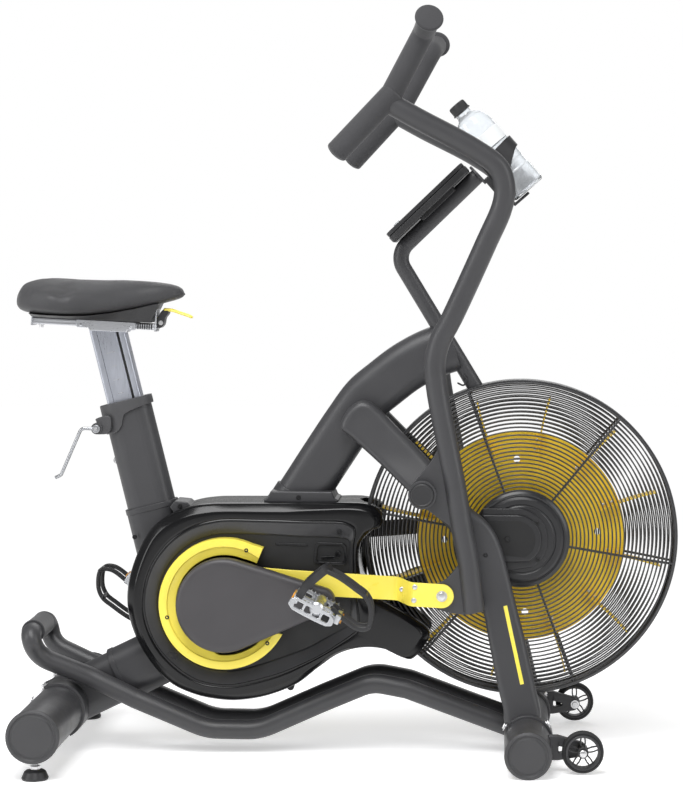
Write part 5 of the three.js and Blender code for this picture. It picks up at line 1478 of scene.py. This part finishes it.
# hub covers
M["hub_shell"] = paint("hub_shell", (0.013, 0.013, 0.0145), 0.30, 0.0, 0.10, 1500, 0.000012, wear=(0.06, 0.06, 0.065), rvary=0.03)
p = Part()
rev(p, rprof([(9, -47.6), (83.5, -47.6), (84, -52, 1.2), (79, -55.4, 1), (76.5, -55.0, 0.6), (74, -58.4, 1.2), (70, -60, 1), (62, -60, 0.6), (60.5, -58.8, 0.6), (58.5, -58.8, 0.6), (57, -60, 0.6), (44, -60.4), (42.5, -59.2, 0.6), (40.5, -59.2, 0.6), (39, -60.4, 0.6), (9, -60.4), (9, -47.6)], 3), (FAN[0], 0, FAN[1]), (0, 1, 0), 96)
pl = [(222, 431)] + [tuple(q) for q in arc((282, 376), 55, 90, -62, 24)] + [(246, 318), (222, 336)]
plate(p, [(float(a), float(b)) for a, b in pl], -64.0, -56, 2.2)
pl = [(222, 420)] + [tuple(q) for q in arc((282, 376), 44, 90, -62, 22)] + [(242, 336), (222, 348)]
plate(p, [(float(a), float(b)) for a, b in pl], -69.5, -60, 3.2)
emit(p, "hub_cap_right", "root", "hub_shell", "hub_cover_right", angle=35)
p = Part()
rev(p, rprof([(30, 47.6), (83.5, 47.6), (84, 49.2, 0.4), (30, 49.0), (30, 47.6)], 2), (FAN[0], 0, FAN[1]), (0, 1, 0), 96)
emit(p, "hub_cap_left", "root", "satin_shell", "hub_cover_left", angle=35)
p = Part()
hex_bolt(p, (FAN[0] - 24, -69.6, FAN[1] + 2), (0, -1, 0), 5.0, 1.6, washer=False)
# painted shade: a thin near-black plate stands in for the deep slot of the hub bracket; the screws share the same
# near-black
il = [(222, 410)] + [tuple(q) for q in arc((281, 376), 34, 90, -64, 20)] + [(236, 352), (222, 362)]
plate(p, [(float(a), float(b)) for a, b in il], -69.9, -66, 0.3)
for x, z in ((318.5, 405.5), (319.5, 341.0)):
    socket_screw(p, (x, -63.6, z), (0, -1, 0), 4.2, 2.2)
emit(p, "hub_slot_shade_and_screws", "root", "dark")

# ------------------------------------------------------------------ handle arms
arm_pts = [(208.1, 262.8, -139), (197.9, 350.6, -139), (188.1, 400.5, -139), (176.1, 476.2, -139), (160.9, 555.4, -139), (144.3, 645.2, -139), (141, 691.3, -140), (149.8, 727.5, -141), (167.7, 762.1, -142), (228.3, 894.1, -148), (258, 963.2, -152), (260.5, 995.4, -155), (249.9, 1025.5, -158), (208.9, 1056.5, -165), (112, 1107.8, -183.4), (62, 1135.5, -190.8)]
ap2 = catmull([(x, y, z) for x, z, y in arm_pts], 9)
p = Part()
tube(p, ap2, circle(ARM_R, 40), ("flat", "flat"), edge=1.5)


def foot_flat(q):
    x, y, z = q
    if z < 345 and y > -123.6:
        k = min(1.0, (345 - z) / 15)
        y = y + (min(y, -123.6) - y) * k
    return (x, y, z)


p.map(foot_flat)
arm_tube = p
p = Part()
plate(p, smooth2([(106, 446), (99, 464), (104, 482), (118, 500), (134, 520), (150, 545), (166, 545), (176, 476), (188, 400), (170, 408), (148, 422), (126, 438)], 4), -143, -136, 1.6)
cyl(p, 24, -158, -121.5, PIVOT, 64, edge=1.6)
plate(p, smooth2([(131, 289), (138, 272), (158, 262), (208, 258), (222, 270), (206, 320), (196, 352), (184, 345), (160, 318), (138, 306)], 4), -143, -137, 1.4)
cyl(p, 6, -150, -140, ROD_PIN, 28)
arm_all = Part().merge(arm_tube).merge(p, 0)
for side, fn in (("right", lambda q: q.copy()), ("left", lambda q: q.mirror())):
    emit(fn(arm_all), "swing_arm_" + side, "arm_" + side, "frame", "handle_arm_" + side, angle=38)
capp = Part()
rev(capp, rprof([(0, 0), (20.8, 0), (20.8, 4.0, 1.4), (19.4, 6.6, 1.4), (17.6, 7.4, 0.6), (16.4, 6.6, 0.6), (0, 6.0)], 4), (PIVOT[0], -157.6, PIVOT[1]), (0, -1, 0), 64)
capr = Part()
rev(capr, rprof([(20.9, -0.4), (24.2, -0.4, 0.5), (24.2, 1.2, 0.8), (20.9, 1.6), (20.9, -0.4)], 3), (PIVOT[0], -157.8, PIVOT[1]), (0, -1, 0), 64)
for side, fn in (("right", lambda q: q.copy()), ("left", lambda q: q.mirror())):
    emit(fn(capp), "pivot_cap_" + side, "arm_" + side, "black_plastic")
    emit(fn(capr), "pivot_ring_" + side, "arm_" + side, "frame")

# foam grips: domed ends, a butt seam where the two sleeves meet
GV = np.array([67.8, -190.0, 1147.3])
up_path = dense(fillet([tuple(GV), (124, -204, 1252, 24), (134.3, -252, 1271.7)], 12), 6)
lo_path = dense([tuple(GV), (-22.9, -204, 1049.9)], 6)
p = Part()
tube(p, up_path, circle(19.0, 36), ("dome", "dome"), dome=0.30)
ed = unit(np.array(up_path[-1]) - np.array(up_path[-3]))
rev(p, rprof([(0, -7), (19, -7, 2), (23.6, -4, 2.5), (24.6, 0, 2.5), (22.5, 3.6, 3), (0, 5.0)], 5), np.array(up_path[-1]) + ed * 1.5, ed, 56)
q2 = Part()
start2 = GV - unit(np.array(lo_path[-1]) - GV) * 3 + np.array([0, -2.5, 0])
tube(q2, dense([tuple(start2), tuple(lo_path[-1])], 6), circle(19.9, 36), ("dome", "dome"), dome=0.42)
for side, fn in (("right", lambda q: q.copy()), ("left", lambda q: q.mirror())):
    emit(fn(p), "foam_grip_upper_" + side, "arm_" + side, "foam", "grip_upper_" + side, angle=60)
    emit(fn(q2), "foam_grip_lower_" + side, "arm_" + side, "foam", "grip_lower_" + side, angle=60)

# ------------------------------------------------------------------ console
CL = lambda q: (125.7 + 0.723 * q[0] - 0.691 * q[2], q[1], 967.4 + 0.691 * q[0] + 0.723 * q[2])


def cbox(p, lo, hi, bev, mi=0, hole=None):
    """Block in console coordinates: outline in (x, y), thickness in z."""
    s = p.mark()
    x0, x1, y0, y1 = lo[0], hi[0], lo[1], hi[1]
    e = bev
    o = fillet([((x0 + x1) / 2, y0), (x1, y0, e), (x1, y1, e), (x0, y1, e), (x0, y0, e), ((x0 + x1) / 2, y0)], 6)[:-1]
    plate(p, [tuple(q) for q in o], lo[2], hi[2], min(1.6, (hi[2] - lo[2]) * 0.4), holes=[hole] if hole else [], mi=mi)
    p.map(lambda q: CL((q[0], q[2], q[1])), s)
    return p


def crect(x0, x1, y0, y1, e):
    return [tuple(q) for q in fillet([((x0 + x1) / 2, y0), (x1, y0, e), (x1, y1, e), (x0, y1, e), (x0, y0, e), ((x0 + x1) / 2, y0)], 5)[:-1]]


p = Part()
cbox(p, (-92, -79.5, -9.8), (92, 79.5, 1.6), 16)
cbox(p, (-91, -78.5, 2.2), (91, 78.5, 9.6), 15, hole=crect(-42, 78, -55, 55, 4))
cbox(p, (-60, -60, 1.4), (84, 60, 6.6), 8)
cbox(p, (-30, -24, -17.5), (52, 24, -9.0), 8)
emit(p, "console_shell", "root", "black_plastic", "console_case", angle=36)
p = Part()
cbox(p, (-41.4, -54.4, 6.7), (77.4, 54.4, 8.8), 3)
emit(p, "console_glass", "root", "screen", "console_screen")
p = Part()
for x0, x1, y0, y1 in ((48, 70, -46, 46), (20, 42, -46, -4), (20, 42, 4, 46), (-8, 14, -46, -4), (-8, 14, 4, 46), (-34, -14, -46, 46)):
    cbox(p, (x0, y0, 8.5), (x1, y1, 9.05), 1.5)
emit(p, "display_fields", "root", "lcd")
for side, s in (("left", 1), ("right", -1)):
    p = Part()
    cbox(p, (-71.4, s * 28 - 14.4, 8.9), (-58.6, s * 28 + 14.4, 13.4), 4)
    emit(p, "key_" + side, "button_" + side, "button_grey", "button_" + side)

# ------------------------------------------------------------------ bottle and holder
B0, BD, BX = np.array([305, 0, 991.5]), unit([-0.6547, 0, 0.7559]), unit([0.7559, 0, 0.6547])
p = Part()
outer_b = [(0, 0), (26, 0, 2), (30, 0.6, 2), (33, 4.5, 3), (33, 40, 2), (31.6, 44, 3), (31.6, 58, 3), (33, 62, 2), (33, 150, 6), (29, 164, 6), (17, 173, 4), (15, 176, 2), (15, 183)]
inner_b = [(13.4, 183), (13.4, 176, 2), (15.6, 171.6, 3), (27.4, 163, 5), (31.4, 149, 5), (31.4, 62, 2), (30.0, 58, 3), (30.0, 44, 3), (31.4, 40, 2), (31.4, 5, 3), (27, 2.0, 2), (0, 1.8)]
rev(p, rprof(outer_b, 4) + rprof(inner_b, 4), B0, BD, 56)
emit(p, "bottle_body", "bottle", "clear_plastic", "bottle", angle=50)
p = Part()
rev(p, rprof([(33.15, 100), (33.3, 100.2), (33.3, 128), (33.15, 128.2), (33.12, 128.2), (33.12, 100), (33.15, 100)], 1), B0, BD, 56)
emit(p, "bottle_label", "bottle", "label")
p = Part()
nr = 72
rings = []
for r, h, rib in ((13.5, 182.0, 0), (17.4, 182.0, 0), (17.6, 182.6, 0), (17.6, 184.6, 0), (16.0, 185.2, 0), (16.3, 186.0, 1), (16.3, 196.5, 1), (15.6, 198.8, 0.4), (13.6, 199.9, 0), (9.5, 200.0, 0), (9.0, 199.0, 0)):
    ring = []
    for i in range(nr):
        t = 2 * math.pi * i / nr
        rr = r - rib * 0.7 * (1 if i % 2 else 0)
        ring.append(B0 + BD * h + BX * rr * math.cos(t) + np.array([0, 1, 0]) * rr * math.sin(t))
    rings.append(ring)
loft(p, rings, 0, False, True)
emit(p, "bottle_screw_cap", "bottle", "black_plastic", "bottle_cap", angle=28)
p = Part()
rings = []
for r, k in ((33.7, 0.02), (33.7, 0.98), (34.4, 1.0), (36.4, 1.0), (37.0, 0.97), (37.0, 0.03), (36.4, 0.0), (34.4, 0.0)):
    ring = []
    for t in np.linspace(0, 2 * math.pi, 72, endpoint=False):
        w = ((1 - math.cos(t)) / 2) ** 1.3
        lo_h, hi_h = 74 - 58 * w, 96 - 8 * w
        ring.append(B0 + BD * (lo_h + (hi_h - lo_h) * k) + BX * r * math.cos(t) + np.array([0, 1, 0]) * r * math.sin(t))
    rings.append(ring)
loft(p, rings + [rings[0]], 0, False, False)


def hbox(lo, hi, bev=2.0):
    s = p.mark()
    box(p, lo, hi, bev)
    p.map(lambda q: B0 + BX * q[0] + np.array([0, q[1], 0]) + BD * q[2], s)


hbox((-38.6, -15, -6), (-34.0, 15, 92), 1.6)
hbox((-50, -17, 26), (-37.4, 17, 66), 3)
hbox((-38.6, -13, -6), (-4, 13, -1.2), 1.4)
emit(p, "holder_cage", "root", "black_plastic", "bottle_holder", angle=36)

# ------------------------------------------------------------------ finishes for the pieces shown straight from the frame
for name, key in (("crank_spindle", "steel"), ("crank_arm_right", "steel"), ("crank_arm_left", "steel"), ("fan_axle", "steel"), ("drive_belt", "belt_rubber")):
    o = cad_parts.get(name)
    if o is not None:
        o.data.materials.clear()
        o.data.materials.append(M[key])
        bv = o.modifiers.new("edge", "BEVEL")
        bv.width, bv.segments, bv.limit_method, bv.angle_limit = 0.0004, 2, "ANGLE", rad(50)

# ------------------------------------------------------------------ stage, light and camera
def plain(name, verts, faces, key):
    me = bpy.data.meshes.new(name)
    me.from_pydata(verts, [], faces)
    o = bpy.data.objects.new(name, me)
    scene.collection.objects.link(o)
    me.materials.append(M[key])
    return o


def floor_paint():
    """Matt white studio floor that fades into the bright backdrop behind the machine."""
    m, t, bs = nodes_of("studio_floor")
    tc = t.nodes.new("ShaderNodeTexCoord")
    sp = t.nodes.new("ShaderNodeSeparateXYZ")
    t.links.new(tc.outputs["Object"], sp.inputs[0])
    ln = t.nodes.new("ShaderNodeVectorMath")
    ln.operation = "LENGTH"
    t.links.new(tc.outputs["Object"], ln.inputs[0])
    far = mapr(t, ln.outputs["Value"], 0.0, 1.0, 0.95, 2.3)
    t.links.new(mixc(t, far, (0.90, 0.90, 0.905), (0.05, 0.05, 0.05)), bs.inputs["Base Color"])
    t.links.new(mapr(t, noise(t, 30, 4), 0.62, 0.72), bs.inputs["Roughness"])
    bs.inputs["Specular IOR Level"].default_value = 0.1
    bs.inputs["Emission Color"].default_value = (1, 1, 1, 1)
    t.links.new(mapr(t, far, 0.42, 0.98), bs.inputs["Emission Strength"])
    return m


M["floor"] = floor_paint()
fl = plain("studio_floor", [(-9, -9, 0), (9, -9, 0), (9, 9, 0), (-9, 9, 0)], [[0, 1, 2, 3]], "floor")

world = bpy.data.worlds.new("studio")
scene.world = world
world.use_nodes = True
wt = world.node_tree
wt.nodes.clear()
wo = wt.nodes.new("ShaderNodeOutputWorld")
bg = wt.nodes.new("ShaderNodeBackground")
bg.inputs["Color"].default_value = (1.0, 1.0, 1.0, 1)
bg.inputs["Strength"].default_value = 0.30
back = wt.nodes.new("ShaderNodeBackground")
back.inputs["Color"].default_value = (1.0, 1.0, 1.0, 1)
back.inputs["Strength"].default_value = 1.0
lp_ = wt.nodes.new("ShaderNodeLightPath")
wmix = wt.nodes.new("ShaderNodeMixShader")
wt.links.new(lp_.outputs["Is Camera Ray"], wmix.inputs[0])
wt.links.new(bg.outputs[0], wmix.inputs[1])
wt.links.new(back.outputs[0], wmix.inputs[2])
wt.links.new(wmix.outputs[0], wo.inputs[0])


def area(name, loc, target, size, power, color=(1, 1, 1), size_y=None):
    la = bpy.data.lights.new(name, "AREA")
    la.energy, la.color, la.shape = power, color, "RECTANGLE"
    la.size, la.size_y = size, size_y or size
    o = bpy.data.objects.new(name, la)
    scene.collection.objects.link(o)
    o.location = loc
    o.rotation_euler = (Vector(target) - Vector(loc)).to_track_quat("-Z", "Y").to_euler()
    return o


area("key_top", (-0.5, -1.5, 3.0), (0, 0, 0.5), 1.8, 78)
area("side_left", (-3.0, -1.6, 1.5), (0, 0, 0.6), 1.0, 34, size_y=2.4)
area("side_right", (3.0, -1.4, 1.7), (0, 0, 0.6), 1.0, 28, size_y=2.4)
area("front_fill", (0.4, -4.4, 4.2), (0, 0, 0.6), 1.6, 46)
area("back_rim", (0.2, 2.6, 2.2), (0, 0, 0.6), 2.4, 26)

cd = bpy.data.cameras.new("camera")
cam = bpy.data.objects.new("camera", cd)
scene.collection.objects.link(cam)
scene.camera = cam
CAM = (0.2695, -4.17, 0.884)
cam.location = CAM
cam.rotation_euler = (rad(90), 0, 0)
cd.lens, cd.sensor_width = 107.3, 36
cd.clip_start, cd.clip_end = 0.05, 60
SHIFT = (-0.2017, -0.182)
for i, prop in enumerate(("shift_x", "shift_y")):
    setattr(cd, prop, SHIFT[i])
    fc = cd.driver_add(prop)
    dr = fc.driver
    dr.type = "SCRIPTED"
    for vn, path in (("cx", "LOC_X"), ("cy", "LOC_Y")):
        v = dr.variables.new()
        v.name, v.type = vn, "TRANSFORMS"
        v.targets[0].id = cam
        v.targets[0].transform_type = path
    dr.expression = f"{SHIFT[i]} if abs(cy + 4.17) < 0.001 and abs(cx - 0.2695) < 0.001 else 0.0"

scene.view_settings.view_transform = "Standard"
scene.view_settings.look = "None"
scene.view_settings.exposure = 0.0
scene.view_settings.gamma = 1.0
